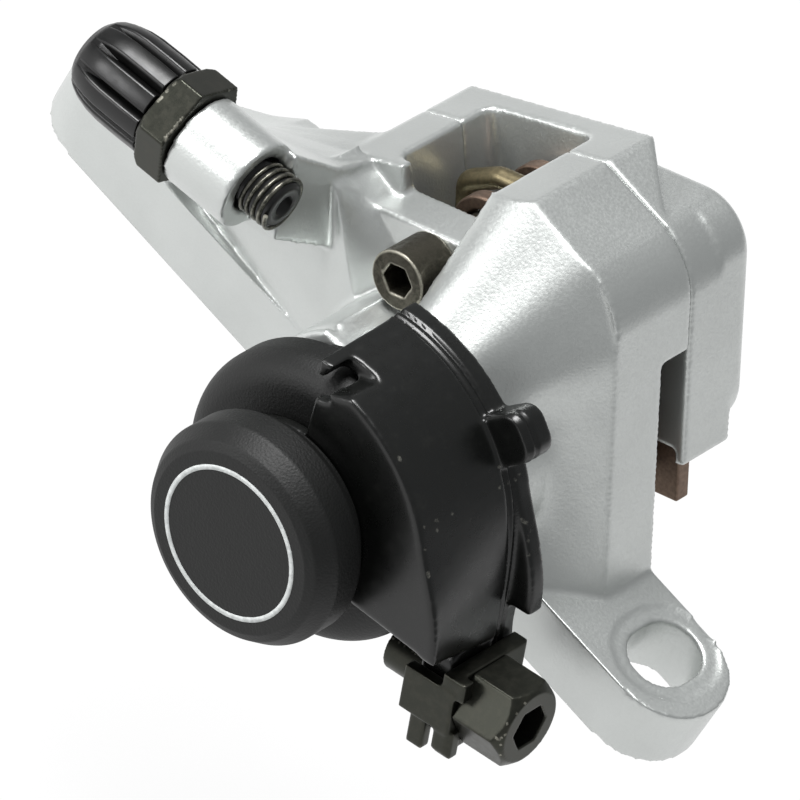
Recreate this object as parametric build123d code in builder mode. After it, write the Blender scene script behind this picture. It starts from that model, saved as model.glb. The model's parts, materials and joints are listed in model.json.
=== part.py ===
from build123d import *
from math import atan2, cos, pi, radians, sin, sqrt
import os

os.makedirs("parts", exist_ok=True)

# Cable pulled disc brake caliper for a bicycle, post mount.
# X runs along the wheel axle, away from the wheel. Y runs from one mounting slot to the
# other, towards the axle. Z runs up the mounting bolts. The origin lies on the mounting
# face, midway between the two slots.

# Overruns and clearances shared by the pieces
overrun = 1.0
running_clearance = 0.04
seat_clearance = 0.05
loose_clearance = 0.3

# Mounting ears
slot_spacing = 74.0
slot_width = 6.6
slot_length = 8.2
ear_thickness = 7.2
ear_outboard = 7.2
ear_inboard = 5.8
ear_reach = 7.2
ear_corner = 6.3
seat_rim = 1.8
seat_depth = 0.2

# Mechanism axis, and the lean of the caliper on its mount
hub_along = 7.65
hub_height = 11.3
lean = 28.6

# Disc rotor that the caliper straddles, and its room
rotor_inboard = 7.75
rotor_thickness = 1.8
rotor_radius = 80.0
rotor_room = 2.0
rotor_slot = 3.9
rotor_drop = 72.0

# Outline of the two halves about the mechanism axis
half_width = 17.2
brow_reach = 15.5
brow_height = 21.2
crest_reach = 6.5
crest_height = 24.1
shoulder_reach = 13.9
shoulder_height = 19.9
flank_height = 14.0
skirt = 4.6
core_thickness = 7.0
bridge_thickness = 6.9
inboard_thickness = 8.9
rear_top = 20.4
rear_corner = 5.5
rear_edge = 1.2
rear_depth = 4.5

# Brake pads
lining_thickness = 2.0
backing_thickness = 1.8
pad_clearance = 0.2
pad_half_width = 15.8
pad_upper_half_width = 13.2
pad_top = 7.4
pad_shelf = 3.4
pad_bottom = 9.5
tab_radius = 3.7
tab_neck = 2.6
lining_inset = 0.9
pad_room = 0.3
pocket_room = 0.25

# Window through the bridge, wide at the top and narrow below
window_left = 11.4
window_right = 1.8
window_far = 14.0
window_near = 0.4
window_floor_left = 9.0
window_floor_right = 1.4
window_floor = 7.0
window_top = 26.0
window_corner = 1.4
ledge_left = 9.0
ledge_height = 18.9

# Boss round the mechanism, and the foot that flares out to the edge of the core
boss_radius = 13.6
boss_end = 17.0
lip_groove = 0.5
lip_length = 0.9
foot_start_angle = -44.0
foot_end_angle = 86.0
foot_points = 14
foot_rise_share = 1.25
foot_curl = 1.4
foot_sink = 0.2

# Bench and web on the left of the boss
bench_thickness = 3.2
web_thickness = 2.8

# Bracket from the left ear to the barrel boss
bracket_root = 12.5
bracket_middle = 24.0
bracket_toe = 31.5
bracket_height = 18.8
bracket_width = 20.0
bracket_sink = 3.8

# Pad axle
axle_reach = 2.5
axle_height = 15.8
axle_radius = 2.0
axle_head_radius = 3.05
axle_head_length = 5.0
axle_socket = 3.0
axle_socket_depth = 2.8
axle_room = 0.7
axle_end = 1.6
axle_groove_depth = 0.45
axle_groove_width = 0.8
clip_wall = 1.0

# Piston and its bore
piston_radius = 9.0
piston_length = 8.6
piston_recess_radius = 6.0
piston_recess_depth = 1.2
piston_ring_section = 0.8
piston_ring_place = 4.6

# Ball ramps
ball_radius = 1.5
ball_circle = 5.6
ball_count = 3
ball_play = 0.05
ramp_depth = 1.1
ramp_sweep = 80.0
ramp_lead = 22.0

# Spindle
flange_radius = 8.6
flange_thickness = 2.6
shaft_radius = 4.0
shaft_square = 5.4
bush_wall = 1.2
washer_thickness = 0.8
tube_radius = 6.8
spring_room_radius = 11.4
spring_room_floor = 12.4

# Return spring
spring_wire = 1.5
spring_radius = 9.4
spring_turns = 3
spring_pitch = 1.9

# Arm: a quarter shell about the axis, closed by a plate on the outboard side
arm_radius = 17.4
arm_face_radius = 16.7
arm_wall = 1.7
arm_start = 12.9
flange_width = 2.0
arm_plate_thickness = 1.5
arm_lean = 20.0
arm_open_angle = 90.0
arm_wall_drop = 10.5
face_drop = 6.2
face_flare = 2.7
guide_rise = 2.8
hub_plate_radius = 9.2
notch_depth = 4.2
notch_angle = 66.0
hook_angle = 82.0
hook_drop = 1.5
lug_width = 3.4
lug_reach = 4.2
lug_angle = 38.0
lug_length = 5.0

# Dust drum between the arm and the body, and the cap over the arm's screw
drum_radius = 14.6
drum_start = 20.75
drum_face = 25.9
drum_round = 3.0
drum_skirt_radius = 12.6
drum_wall = 1.2
cap_neck_radius = 9.6
cap_radius = 11.4
cap_back = 29.0
cap_rim = 33.0
cap_face = 35.3
cap_flat_radius = 9.5
ring_radius = 7.6
ring_width = 0.38
ring_depth = 0.15
cap_wall = 1.6

# Screw that holds the arm
arm_screw_radius = 2.5
arm_screw_length = 9.0
arm_screw_head_radius = 4.25
arm_screw_head_height = 3.4
arm_screw_socket = 4.0
arm_screw_socket_depth = 2.2
arm_washer_radius = 6.2
arm_washer_thickness = 1.0

# Cable clamp
cable_circle = 18.2
cable_place = 15.3
clamp_place = 18.7
clamp_drop = 14.1
clamp_bolt_radius = 2.5
clamp_bolt_length = 10.2
clamp_head_across = 8.0
clamp_head_height = 5.6
clamp_head_dome = 0.9
clamp_socket = 4.0
clamp_socket_depth = 3.2
clamp_plate_thickness = 1.7
clamp_plate_fold = 1.4
clamp_seat = 17.6
clamp_gap = 0.2
tab_thickness = 3.6
tab_inboard = 5.8
tab_outboard = 3.2
tab_above = 5.2
tab_below = 4.8
plate_above = 4.1

# Barrel adjuster
cable_rise = 11.1
barrel_reach = 17.7
barrel_radius = 2.9
barrel_tail = 3.4
barrel_boss_length = 7.6
barrel_boss_radius = 4.7
barrel_boss_drop = 0.3
nut_across = 10.0
nut_turn = 15.0
nut_chamfer = 0.5
nut_thickness = 3.4
nut_gap = 0.1
knob_length = 9.8
knob_radius = 4.85
knob_end_radius = 3.6
knob_taper = 3.6
knob_round = 1.0
flute_count = 10
flute_radius = 1.0
flute_depth = 0.8
casing_radius = 2.55
casing_depth = 6.0
cable_bore = 1.1
barrel_room = 0.7

# Pad adjuster in the inboard half
adjuster_radius = 5.0
adjuster_flange_radius = 6.4
adjuster_flange_thickness = 1.4
adjuster_socket = 5.0
adjuster_socket_depth = 2.4
adjuster_ring_section = 0.7

# Screws that join the halves
joining_left = 13.2
joining_right = 10.8
joining_height = 13.6
joining_radius = 2.0
joining_head_radius = 3.4
joining_head_height = 3.6
joining_socket = 3.0
joining_socket_depth = 1.8
joining_bite = 7.0

# Pad spring
spring_rod = 1.1
spring_left = 8.4
spring_bottom = 10.4
spring_top = 17.2
spring_right = 0.3
spring_bend = 1.4

# Places along X that the pieces share
rotor_place = -rotor_inboard
face_out = rotor_place + rotor_slot / 2
face_in = rotor_place - rotor_slot / 2
core_front = face_out + core_thickness
bench_front = core_front + bench_thickness
web_front = bench_front + web_thickness
bridge_back = face_in - bridge_thickness
inboard_back = face_in - inboard_thickness
lining_out = rotor_place + rotor_thickness / 2 + pad_clearance
backing_out = lining_out + lining_thickness
pad_back_out = backing_out + backing_thickness
lining_in = rotor_place - rotor_thickness / 2 - pad_clearance
backing_in = lining_in - lining_thickness
pad_back_in = backing_in - backing_thickness
pocket_out = pad_back_out + pocket_room
pocket_in = pad_back_in - pocket_room
piston_end = pad_back_out + piston_length
ball_place = piston_end + ball_radius - ramp_depth + ball_play
flange_start = ball_place + ball_radius - ramp_depth
flange_end = flange_start + flange_thickness
washer_end = flange_end + washer_thickness
bore_end = washer_end + seat_clearance
adjuster_groove = inboard_back + adjuster_socket_depth / 2
plate_start = drum_face + loose_clearance
plate_end = plate_start + arm_plate_thickness
washer_top = plate_end + arm_washer_thickness
shaft_end = plate_end - seat_clearance
bush_radius = shaft_radius + running_clearance
bush_outer = bush_radius + bush_wall

# Planes that the pieces stand on. Hub leans with the caliper, top looks down into the
# window, and arm leans with the pull of the cable
hub = Plane(
    origin=(0, hub_along, hub_height),
    x_dir=(0, cos(radians(lean)), sin(radians(lean))),
    z_dir=(1, 0, 0),
)
top = Plane(
    origin=(0, hub_along, hub_height),
    x_dir=(1, 0, 0),
    z_dir=(0, -sin(radians(lean)), cos(radians(lean))),
)
arm = Plane(
    origin=(0, hub_along, hub_height),
    x_dir=(0, cos(radians(arm_lean)), sin(radians(arm_lean))),
    z_dir=(1, 0, 0),
)

# Barrel line, tangent to the cable's circle on the arm
rise = radians(cable_rise)
barrel_start = (
    cable_place,
    hub_along - cable_circle * sin(rise) - barrel_reach * cos(rise),
    hub_height + cable_circle * cos(rise) - barrel_reach * sin(rise),
)
barrel = Plane(origin=barrel_start, x_dir=(1, 0, 0), z_dir=(0, -cos(rise), -sin(rise)))

# Clamp bolt line, square to the cable where it leaves the arm
pull = radians(arm_lean)
clamp_start = (
    clamp_place,
    hub_along + clamp_drop * sin(pull),
    hub_height - clamp_drop * cos(pull),
)
clamp = Plane(origin=clamp_start, x_dir=(1, 0, 0), z_dir=(0, cos(pull), sin(pull)))


def corner_radius(across_flats):
    """Corner radius of a hexagon from its width across the flats."""
    return across_flats / sqrt(3)


def outline(bottom):
    """Face of a half's outline about the mechanism axis, down to the given depth."""
    with BuildSketch() as sketch:
        with BuildLine():
            Polyline(
                (half_width, flank_height),
                (half_width, -bottom),
                (-half_width, -bottom),
                (-half_width, 2 * brow_height - half_width - crest_reach),
                (-brow_reach, brow_height),
                (crest_reach, crest_height),
                (shoulder_reach, shoulder_height),
            )
            ThreePointArc(
                (shoulder_reach, shoulder_height),
                (
                    half_width - (half_width - shoulder_reach) / 4,
                    (flank_height + shoulder_height) / 2,
                ),
                (half_width, flank_height),
            )
        make_face()
    return sketch.sketch


def pad_outline(grow):
    """Face of a pad's backing plate, grown for its room in the body."""
    side = pad_half_width + grow
    upper = pad_upper_half_width + grow
    with BuildSketch() as sketch:
        with BuildLine():
            Polyline(
                (-side, -pad_bottom - grow),
                (side, -pad_bottom - grow),
                (side, -pad_shelf + grow),
                (upper, -pad_shelf + grow),
                (upper, pad_top + grow),
                (-upper, pad_top + grow),
                (-upper, -pad_shelf + grow),
                (-side, -pad_shelf + grow),
                close=True,
            )
        make_face()
        with BuildLine():
            Polyline(
                (-axle_reach - 2 * tab_neck - grow, pad_top),
                (-axle_reach - tab_neck - grow, axle_height),
                (-axle_reach + tab_neck + grow, axle_height),
                (-axle_reach + 2 * tab_neck + grow, pad_top),
                close=True,
            )
        make_face()
        with Locations((-axle_reach, axle_height)):
            Circle(tab_radius + grow)
    return sketch.sketch


def outline_radius(angle):
    """Distance from the mechanism axis to the outline of the halves at an angle."""
    corners = (
        (half_width, -2 * half_width),
        (half_width, flank_height),
        (shoulder_reach, shoulder_height),
        (crest_reach, crest_height),
        (-brow_reach, brow_height),
    )
    reach = 2 * half_width
    for (t1, h1), (t2, h2) in zip(corners, corners[1:]):
        normal = atan2(t1 - t2, h2 - h1)
        distance = t1 * cos(normal) + h1 * sin(normal)
        facing = cos(radians(angle) - normal)
        if facing > 0:
            reach = min(reach, distance / facing)
    return reach


def foot_radius(angle, height):
    """Radius of the boss's flared foot at an angle, and at a height above the core."""
    inner = boss_radius - foot_sink
    spread = outline_radius(angle) - inner
    climb = min(1, height / (spread * foot_rise_share))
    return inner + spread * (1 - climb) ** (1 + foot_curl / spread)


# Foot of the boss, flared out to the edge of the core
foot_height = foot_rise_share * (crest_height - boss_radius)
foot_level_shares = (0, 0.1, 0.25, 0.45, 0.7, 1)
foot_step = (foot_end_angle - foot_start_angle) / (foot_points - 1)
foot_angles = [foot_start_angle + foot_step * count for count in range(foot_points)]

with BuildPart() as boss_foot:
    for share in foot_level_shares:
        level = share * foot_height
        with BuildSketch(hub.offset(core_front + level)):
            with BuildLine():
                rim = []
                for angle in foot_angles:
                    reach = foot_radius(angle, level)
                    rim.append((reach * cos(radians(angle)), reach * sin(radians(angle))))
                Spline(*rim)
                Line(rim[-1], (0, 0))
                Line((0, 0), rim[0])
            make_face()
    loft()
    with BuildSketch(hub.offset(core_front)):
        add(outline(2 * half_width))
    extrude(amount=foot_height, mode=Mode.INTERSECT)

# Bracket of the barrel boss: its root lies in the core, its middle beside the nut and its
# toe on the left ear. Corners are shares of width and height, from the saddle behind, over
# the ridge, the barrel boss and the sloping front face, down into the ear
root_shares = (
    (0.000, 1.020),
    (0.350, 1.025),
    (0.590, 1.080),
    (0.915, 1.295),
    (1.055, 0.870),
    (0.650, 0.650),
    (0.650, 0.000),
)
middle_shares = (
    (0.000, 0.370),
    (0.350, 0.520),
    (0.590, 0.680),
    (0.840, 0.920),
    (1.015, 0.640),
    (0.890, 0.530),
    (0.560, 0.000),
)
toe_shares = (
    (0.000, 0.040),
    (0.350, 0.040),
    (0.440, 0.040),
    (0.500, 0.040),
    (0.530, 0.025),
    (0.545, 0.010),
    (0.560, 0.000),
)
tilt = radians(lean)
root_height = hub_height - ear_thickness
root = Plane(
    origin=(
        face_out,
        hub_along + (root_height * sin(tilt) - bracket_root) / cos(tilt),
        ear_thickness,
    ),
    x_dir=(1, 0, 0),
    z_dir=(0, -cos(tilt), -sin(tilt)),
)
middle = Plane(origin=(face_out, -bracket_middle, ear_thickness), x_dir=(1, 0, 0), z_dir=(0, -1, 0))
toe = Plane(origin=(face_out, -bracket_toe, ear_thickness), x_dir=(1, 0, 0), z_dir=(0, -1, 0))

with BuildPart() as bracket:
    for plane, shares in ((root, root_shares), (middle, middle_shares), (toe, toe_shares)):
        with BuildSketch(plane):
            with BuildLine():
                Polyline(
                    *[(across * bracket_width, up * bracket_height) for across, up in shares],
                    (shares[-1][0] * bracket_width, -bracket_sink),
                    (0, -bracket_sink),
                    close=True,
                )
            make_face()
    loft(ruled=True)
    # Square end over the inner end of the barrel
    with BuildSketch(barrel.offset(barrel_tail)):
        with Locations((half_width - cable_place + web_front, 0)):
            Rectangle(2 * half_width, 4 * half_width)
    extrude(amount=-2 * half_width, mode=Mode.SUBTRACT)
    # Barrel boss
    with BuildSketch(barrel.offset(barrel_tail)):
        with Locations((0, -barrel_boss_drop)):
            Circle(barrel_boss_radius)
    extrude(amount=barrel_boss_length)
    # Room for the nut and the knob
    with BuildSketch(barrel.offset(barrel_tail + barrel_boss_length)):
        Circle(corner_radius(nut_across) + barrel_room)
    extrude(amount=nut_thickness + knob_length + 2 * casing_depth, mode=Mode.SUBTRACT)

# Web beside the boss, as shares of the half width: the bench, the root of the web on it
# and the web's face
bench_shares = (
    (-0.99, -0.30),
    (-0.98, 0.84),
    (-0.93, 1.16),
    (-0.84, 1.30),
    (-0.55, 1.10),
    (0.10, 1.10),
    (0.10, -0.30),
)
web_root_shares = (
    (-0.99, -0.30),
    (-0.98, 0.84),
    (-0.93, 1.16),
    (-0.84, 1.30),
    (-0.55, 1.10),
    (-0.39, 0.93),
    (-0.39, 0.50),
    (-0.39, -0.30),
)
web_face_shares = (
    (-0.98, -0.30),
    (-0.98, 0.84),
    (-0.91, 1.22),
    (-0.81, 1.35),
    (-0.69, 1.23),
    (-0.59, 0.77),
    (-0.52, 0.53),
    (-0.50, -0.30),
)

with BuildPart() as web:
    with BuildSketch(hub.offset(core_front)):
        with BuildLine():
            Polyline(*[(half_width * t, half_width * h) for t, h in bench_shares], close=True)
        make_face()
    extrude(amount=bench_thickness)
    for place, shares in ((bench_front, web_root_shares), (web_front, web_face_shares)):
        with BuildSketch(hub.offset(place)):
            with BuildLine():
                Polyline(*[(half_width * t, half_width * h) for t, h in shares], close=True)
            make_face()
    loft(ruled=True)

with BuildPart() as outboard_body:
    # Core beside the rotor, and the bridge over it
    with BuildSketch(hub.offset(face_out)):
        add(outline(2 * half_width))
    extrude(amount=core_thickness)
    with BuildSketch(hub.offset(face_in)):
        add(outline(0))
        with Locations((0, -rotor_drop)):
            Circle(rotor_radius + rotor_room, mode=Mode.SUBTRACT)
    extrude(amount=rotor_slot)
    # Mounting face
    with BuildSketch(Plane.XY):
        Rectangle(2 * slot_spacing, 2 * slot_spacing)
    extrude(amount=-2 * half_width, mode=Mode.SUBTRACT)
    # Bar of the ears
    with BuildSketch(Plane.XY):
        with Locations(((ear_outboard - ear_inboard) / 2, 0)):
            RectangleRounded(
                ear_outboard + ear_inboard, slot_spacing + 2 * ear_reach, ear_corner
            )
    extrude(amount=ear_thickness)
    add(bracket.part)
    add(web.part)
    # Window and ledge
    with BuildSketch(top.offset(window_floor)):
        with Locations(
            ((pocket_in + pocket_out) / 2, (window_floor_right - window_floor_left) / 2)
        ):
            RectangleRounded(
                pocket_out - pocket_in,
                window_floor_right + window_floor_left,
                window_corner,
            )
    with BuildSketch(top.offset(window_top)):
        with Locations(
            ((window_near - window_far) / 2, (window_right - window_left) / 2)
        ):
            RectangleRounded(
                window_near + window_far, window_right + window_left, window_corner
            )
    loft(mode=Mode.SUBTRACT)
    with BuildSketch(top.offset(ledge_height)):
        with Locations((bench_front, (window_right - ledge_left) / 2)):
            Rectangle(2 * (bench_front - pocket_out), ledge_left + window_right)
    extrude(amount=half_width, mode=Mode.SUBTRACT)
    # Boss
    add(boss_foot.part)
    with BuildSketch(hub.offset(face_out)):
        Circle(boss_radius)
    extrude(amount=boss_end - face_out)
    with BuildSketch(hub.offset(boss_end - 2 * lip_length)):
        Circle(boss_radius + overrun)
        Circle(boss_radius - lip_groove, mode=Mode.SUBTRACT)
    extrude(amount=lip_length, mode=Mode.SUBTRACT)
    # Seat of the pad axle's head, and its hole
    with BuildSketch(hub.offset(bench_front)):
        with Locations((-axle_reach, axle_height)):
            Circle(axle_head_radius + axle_room)
    extrude(amount=boss_end, mode=Mode.SUBTRACT)
    with BuildSketch(hub.offset(inboard_back)):
        with Locations((-axle_reach, axle_height)):
            Circle(axle_radius + seat_clearance)
    extrude(amount=bench_front - inboard_back + overrun, mode=Mode.SUBTRACT)
    # Pad pocket
    with BuildSketch(hub.offset(face_out - overrun)):
        add(pad_outline(pad_room))
    extrude(amount=pocket_out - face_out + overrun, mode=Mode.SUBTRACT)
    # Room of the rotor, where the bracket and the ear reach into it
    with BuildSketch(hub.offset(face_in)):
        with Locations((0, -rotor_drop)):
            Circle(rotor_radius + rotor_room)
    extrude(amount=rotor_slot, mode=Mode.SUBTRACT)
    # Piston bore, spindle bore and spring room
    with BuildSketch(hub.offset(face_out - overrun)):
        Circle(piston_radius + running_clearance)
    extrude(amount=bore_end - face_out + overrun, mode=Mode.SUBTRACT)
    with BuildSketch(hub.offset(bore_end)):
        Circle(bush_outer + seat_clearance)
    extrude(amount=boss_end, mode=Mode.SUBTRACT)
    with BuildSketch(hub.offset(spring_room_floor)):
        Circle(spring_room_radius)
        Circle(tube_radius, mode=Mode.SUBTRACT)
    extrude(amount=boss_end, mode=Mode.SUBTRACT)
    with BuildSketch(hub.offset(pad_back_out + piston_ring_place)):
        Circle(piston_radius + piston_ring_section)
    extrude(amount=2 * piston_ring_section, mode=Mode.SUBTRACT)
    # Slots in the ears, and the seats of their washers
    with BuildSketch(Plane.XY):
        with GridLocations(0, slot_spacing, 1, 2):
            SlotOverall(slot_length, slot_width)
    extrude(amount=ear_thickness, mode=Mode.SUBTRACT)
    with BuildSketch(Plane.XY.offset(ear_thickness)):
        with GridLocations(0, slot_spacing, 1, 2):
            SlotOverall(slot_length + 2 * seat_rim, slot_width + 2 * seat_rim)
    extrude(amount=-seat_depth, mode=Mode.SUBTRACT)
    # Tapped holes for the joining screws
    with BuildSketch(hub.offset(face_in)):
        with Locations((-joining_left, joining_height), (joining_right, joining_height)):
            Circle(joining_radius + seat_clearance)
    extrude(amount=joining_bite + seat_clearance, mode=Mode.SUBTRACT)
    # Tapped hole of the barrel
    with BuildSketch(barrel.offset(-overrun)):
        Circle(barrel_radius + running_clearance)
    extrude(amount=2 * barrel_reach, mode=Mode.SUBTRACT)
outboard_body.part.label = "outboard_body"

with BuildPart() as inboard_body:
    # Bridge strip, flush with the outboard half, whose end slants back to the crest
    with BuildSketch(hub.offset(bridge_back)):
        add(outline(skirt))
    extrude(amount=bridge_thickness)
    with BuildSketch(top.offset(rear_top)):
        with BuildLine():
            Polyline(
                (bridge_back - overrun, crest_reach),
                (bridge_back, crest_reach),
                (face_in, shoulder_reach),
                (face_in, 2 * half_width),
                (bridge_back - overrun, 2 * half_width),
                close=True,
            )
        make_face()
    extrude(amount=crest_height, mode=Mode.SUBTRACT)
    # Rear block, lower and rounder
    with BuildSketch(hub.offset(inboard_back)):
        with Locations((0, (rear_top - skirt) / 2)):
            RectangleRounded(2 * half_width, rear_top + skirt, rear_corner)
    extrude(amount=rear_depth)
    fillet(inboard_body.faces().sort_by(Axis.X)[0].edges(), rear_edge)
    # Round wall below, about the adjuster
    with BuildSketch(hub.offset(inboard_back + rear_edge)):
        Circle(adjuster_flange_radius + loose_clearance + rear_edge)
    extrude(amount=pocket_in - inboard_back - rear_edge)
    # Window
    with BuildSketch(top.offset(window_floor)):
        with Locations(
            ((pocket_in + pocket_out) / 2, (window_floor_right - window_floor_left) / 2)
        ):
            RectangleRounded(
                pocket_out - pocket_in,
                window_floor_right + window_floor_left,
                window_corner,
            )
    with BuildSketch(top.offset(window_top)):
        with Locations(
            ((window_near - window_far) / 2, (window_right - window_left) / 2)
        ):
            RectangleRounded(
                window_near + window_far, window_right + window_left, window_corner
            )
    loft(mode=Mode.SUBTRACT)
    # Pad pocket
    with BuildSketch(hub.offset(pocket_in)):
        add(pad_outline(pad_room))
    extrude(amount=face_in - pocket_in + overrun, mode=Mode.SUBTRACT)
    # Adjuster bore
    with BuildSketch(hub.offset(inboard_back - overrun)):
        Circle(adjuster_radius + running_clearance)
    extrude(amount=inboard_thickness, mode=Mode.SUBTRACT)
    with BuildSketch(hub.offset(pocket_in - adjuster_flange_thickness)):
        Circle(adjuster_flange_radius + loose_clearance)
    extrude(amount=inboard_thickness, mode=Mode.SUBTRACT)
    with BuildSketch(hub.offset(adjuster_groove)):
        Circle(adjuster_radius + adjuster_ring_section)
    extrude(amount=2 * adjuster_ring_section, mode=Mode.SUBTRACT)
    # Pad axle's hole
    with BuildSketch(hub.offset(inboard_back - overrun)):
        with Locations((-axle_reach, axle_height)):
            Circle(axle_radius + seat_clearance)
    extrude(amount=2 * inboard_thickness, mode=Mode.SUBTRACT)
    # Holes and seats of the joining screws
    with BuildSketch(hub.offset(inboard_back - overrun)):
        with Locations((-joining_left, joining_height), (joining_right, joining_height)):
            Circle(joining_radius + seat_clearance)
    extrude(amount=2 * inboard_thickness, mode=Mode.SUBTRACT)
    with BuildSketch(hub.offset(inboard_back - overrun)):
        with Locations((-joining_left, joining_height), (joining_right, joining_height)):
            Circle(joining_head_radius + loose_clearance)
    extrude(amount=joining_head_height + overrun, mode=Mode.SUBTRACT)
inboard_body.part.label = "inboard_body"

# Brake pads
for side, plate_place, lining_place in (
    ("outboard", backing_out, lining_out),
    ("inboard", pad_back_in, backing_in),
):
    with BuildPart() as pad_plate:
        with BuildSketch(hub.offset(plate_place)):
            add(pad_outline(0))
            with Locations((-axle_reach, axle_height)):
                Circle(axle_radius + loose_clearance, mode=Mode.SUBTRACT)
        extrude(amount=backing_thickness)
    pad_plate.part.label = f"{side}_pad_plate"
    export_step(pad_plate.part, f"parts/{side}_pad_plate.step")

    with BuildPart() as pad_lining:
        with BuildSketch(hub.offset(lining_place)):
            with Locations((0, (pad_top - pad_bottom) / 2)):
                RectangleRounded(
                    2 * (pad_upper_half_width - lining_inset),
                    pad_top + pad_bottom - 2 * lining_inset,
                    lining_thickness,
                )
        extrude(amount=lining_thickness)
    pad_lining.part.label = f"{side}_pad_lining"
    export_step(pad_lining.part, f"parts/{side}_pad_lining.step")

# Pad axle, with a groove for its clip on the inboard side
axle_tip = inboard_back - axle_end
with BuildPart() as pad_axle:
    with BuildSketch(hub.offset(bench_front + seat_clearance)):
        with Locations((-axle_reach, axle_height)):
            Circle(axle_head_radius)
    extrude(amount=axle_head_length)
    with BuildSketch(hub.offset(axle_tip)):
        with Locations((-axle_reach, axle_height)):
            Circle(axle_radius)
    extrude(amount=bench_front - axle_tip + overrun)
    with BuildSketch(hub.offset(bench_front + seat_clearance + axle_head_length)):
        with Locations((-axle_reach, axle_height)):
            RegularPolygon(corner_radius(axle_socket), 6)
    extrude(amount=-axle_socket_depth, mode=Mode.SUBTRACT)
    with BuildSketch(hub.offset(inboard_back - seat_clearance)):
        with Locations((-axle_reach, axle_height)):
            Circle(axle_radius + overrun)
            Circle(axle_radius - axle_groove_depth, mode=Mode.SUBTRACT)
    extrude(amount=-axle_groove_width, mode=Mode.SUBTRACT)
pad_axle.part.label = "pad_axle"

with BuildPart() as axle_clip:
    with BuildSketch(hub.offset(inboard_back - 2 * seat_clearance)):
        with Locations((-axle_reach, axle_height)):
            Circle(axle_radius + clip_wall)
            Circle(axle_radius - axle_groove_depth + seat_clearance, mode=Mode.SUBTRACT)
        with Locations((-axle_reach, axle_height - axle_radius - clip_wall)):
            Rectangle(axle_radius, 2 * axle_radius, mode=Mode.SUBTRACT)
    extrude(amount=-(axle_groove_width - 2 * seat_clearance))
axle_clip.part.label = "axle_clip"

# Spring that lies on the pad axle between the pads
with BuildPart() as pad_spring:
    spring_crest = axle_height + axle_radius + seat_clearance + spring_rod
    with BuildLine(hub.offset(rotor_place)) as route:
        FilletPolyline(
            (-spring_left, spring_bottom),
            (-spring_left, spring_top),
            (-axle_reach - axle_radius, spring_crest),
            (spring_right, spring_crest),
            radius=spring_bend,
        )
    with BuildSketch(Plane(origin=route.wires()[0] @ 0, z_dir=route.wires()[0] % 0)):
        Circle(spring_rod)
    sweep(path=route.wires()[0])
pad_spring.part.label = "pad_spring"

# Screws that join the halves
with BuildPart() as body_screws:
    spots = ((-joining_left, joining_height), (joining_right, joining_height))
    with BuildSketch(hub.offset(inboard_back + seat_clearance)):
        with Locations(*spots):
            Circle(joining_head_radius)
    extrude(amount=joining_head_height - 2 * seat_clearance)
    with BuildSketch(hub.offset(inboard_back + joining_head_height / 2)):
        with Locations(*spots):
            Circle(joining_radius)
    extrude(amount=face_in + joining_bite - inboard_back - joining_head_height / 2)
    with BuildSketch(hub.offset(inboard_back + seat_clearance)):
        with Locations(*spots):
            RegularPolygon(corner_radius(joining_socket), 6)
    extrude(amount=joining_socket_depth, mode=Mode.SUBTRACT)
body_screws.part.label = "body_screws"

# Piston, with three curved ramps in its back for the balls
axis = Axis((0, hub_along, hub_height), (1, 0, 0))
with BuildPart() as piston:
    with BuildSketch(hub.offset(pad_back_out + seat_clearance)):
        Circle(piston_radius)
    extrude(amount=piston_length - seat_clearance)
    with BuildSketch(hub.offset(pad_back_out)):
        Circle(piston_recess_radius)
    extrude(amount=piston_recess_depth, mode=Mode.SUBTRACT)
    for count in range(ball_count):
        start = radians(lean - ramp_lead) + 2 * pi * count / ball_count
        with BuildSketch(
            Plane(
                origin=(ball_place, hub_along, hub_height),
                x_dir=(0, cos(start), sin(start)),
                z_dir=(0, sin(start), -cos(start)),
            )
        ):
            with Locations((ball_circle, 0)):
                Circle(ball_radius + ball_play)
        revolve(axis=axis, revolution_arc=ramp_sweep, mode=Mode.SUBTRACT)
piston.part.label = "piston"

with BuildPart(hub.offset(ball_place)) as ramp_balls:
    with PolarLocations(ball_circle, ball_count):
        Sphere(ball_radius)
ramp_balls.part.label = "ramp_balls"

with BuildPart() as piston_ring:
    with BuildSketch(hub.offset(pad_back_out + piston_ring_place + seat_clearance)):
        Circle(piston_radius + piston_ring_section - seat_clearance)
        Circle(piston_radius + running_clearance, mode=Mode.SUBTRACT)
    extrude(amount=2 * (piston_ring_section - seat_clearance))
piston_ring.part.label = "piston_ring"

# Spindle: flange with a pocket for each ball, round shaft and a square for the arm
with BuildPart() as drive_spindle:
    with BuildSketch(hub.offset(flange_start)):
        Circle(flange_radius)
        with PolarLocations(ball_circle, ball_count):
            Circle(ball_radius + seat_clearance, mode=Mode.SUBTRACT)
    extrude(amount=ramp_depth + seat_clearance)
    with BuildSketch(hub.offset(flange_start + ramp_depth + seat_clearance)):
        Circle(flange_radius)
    extrude(amount=flange_thickness - ramp_depth - seat_clearance)
    with BuildSketch(hub.offset(flange_end)):
        Circle(shaft_radius)
    extrude(amount=plate_start - flange_end - seat_clearance)
    with BuildSketch(arm.offset(plate_start - seat_clearance)):
        Rectangle(shaft_square, shaft_square)
    extrude(amount=shaft_end - plate_start + seat_clearance)
    with BuildSketch(hub.offset(shaft_end)):
        Circle(arm_screw_radius + seat_clearance)
    extrude(amount=-arm_screw_length, mode=Mode.SUBTRACT)
drive_spindle.part.label = "drive_spindle"

with BuildPart() as thrust_washer:
    with BuildSketch(hub.offset(flange_end + seat_clearance)):
        Circle(flange_radius)
        Circle(bush_radius, mode=Mode.SUBTRACT)
    extrude(amount=washer_thickness - seat_clearance)
thrust_washer.part.label = "thrust_washer"

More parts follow.
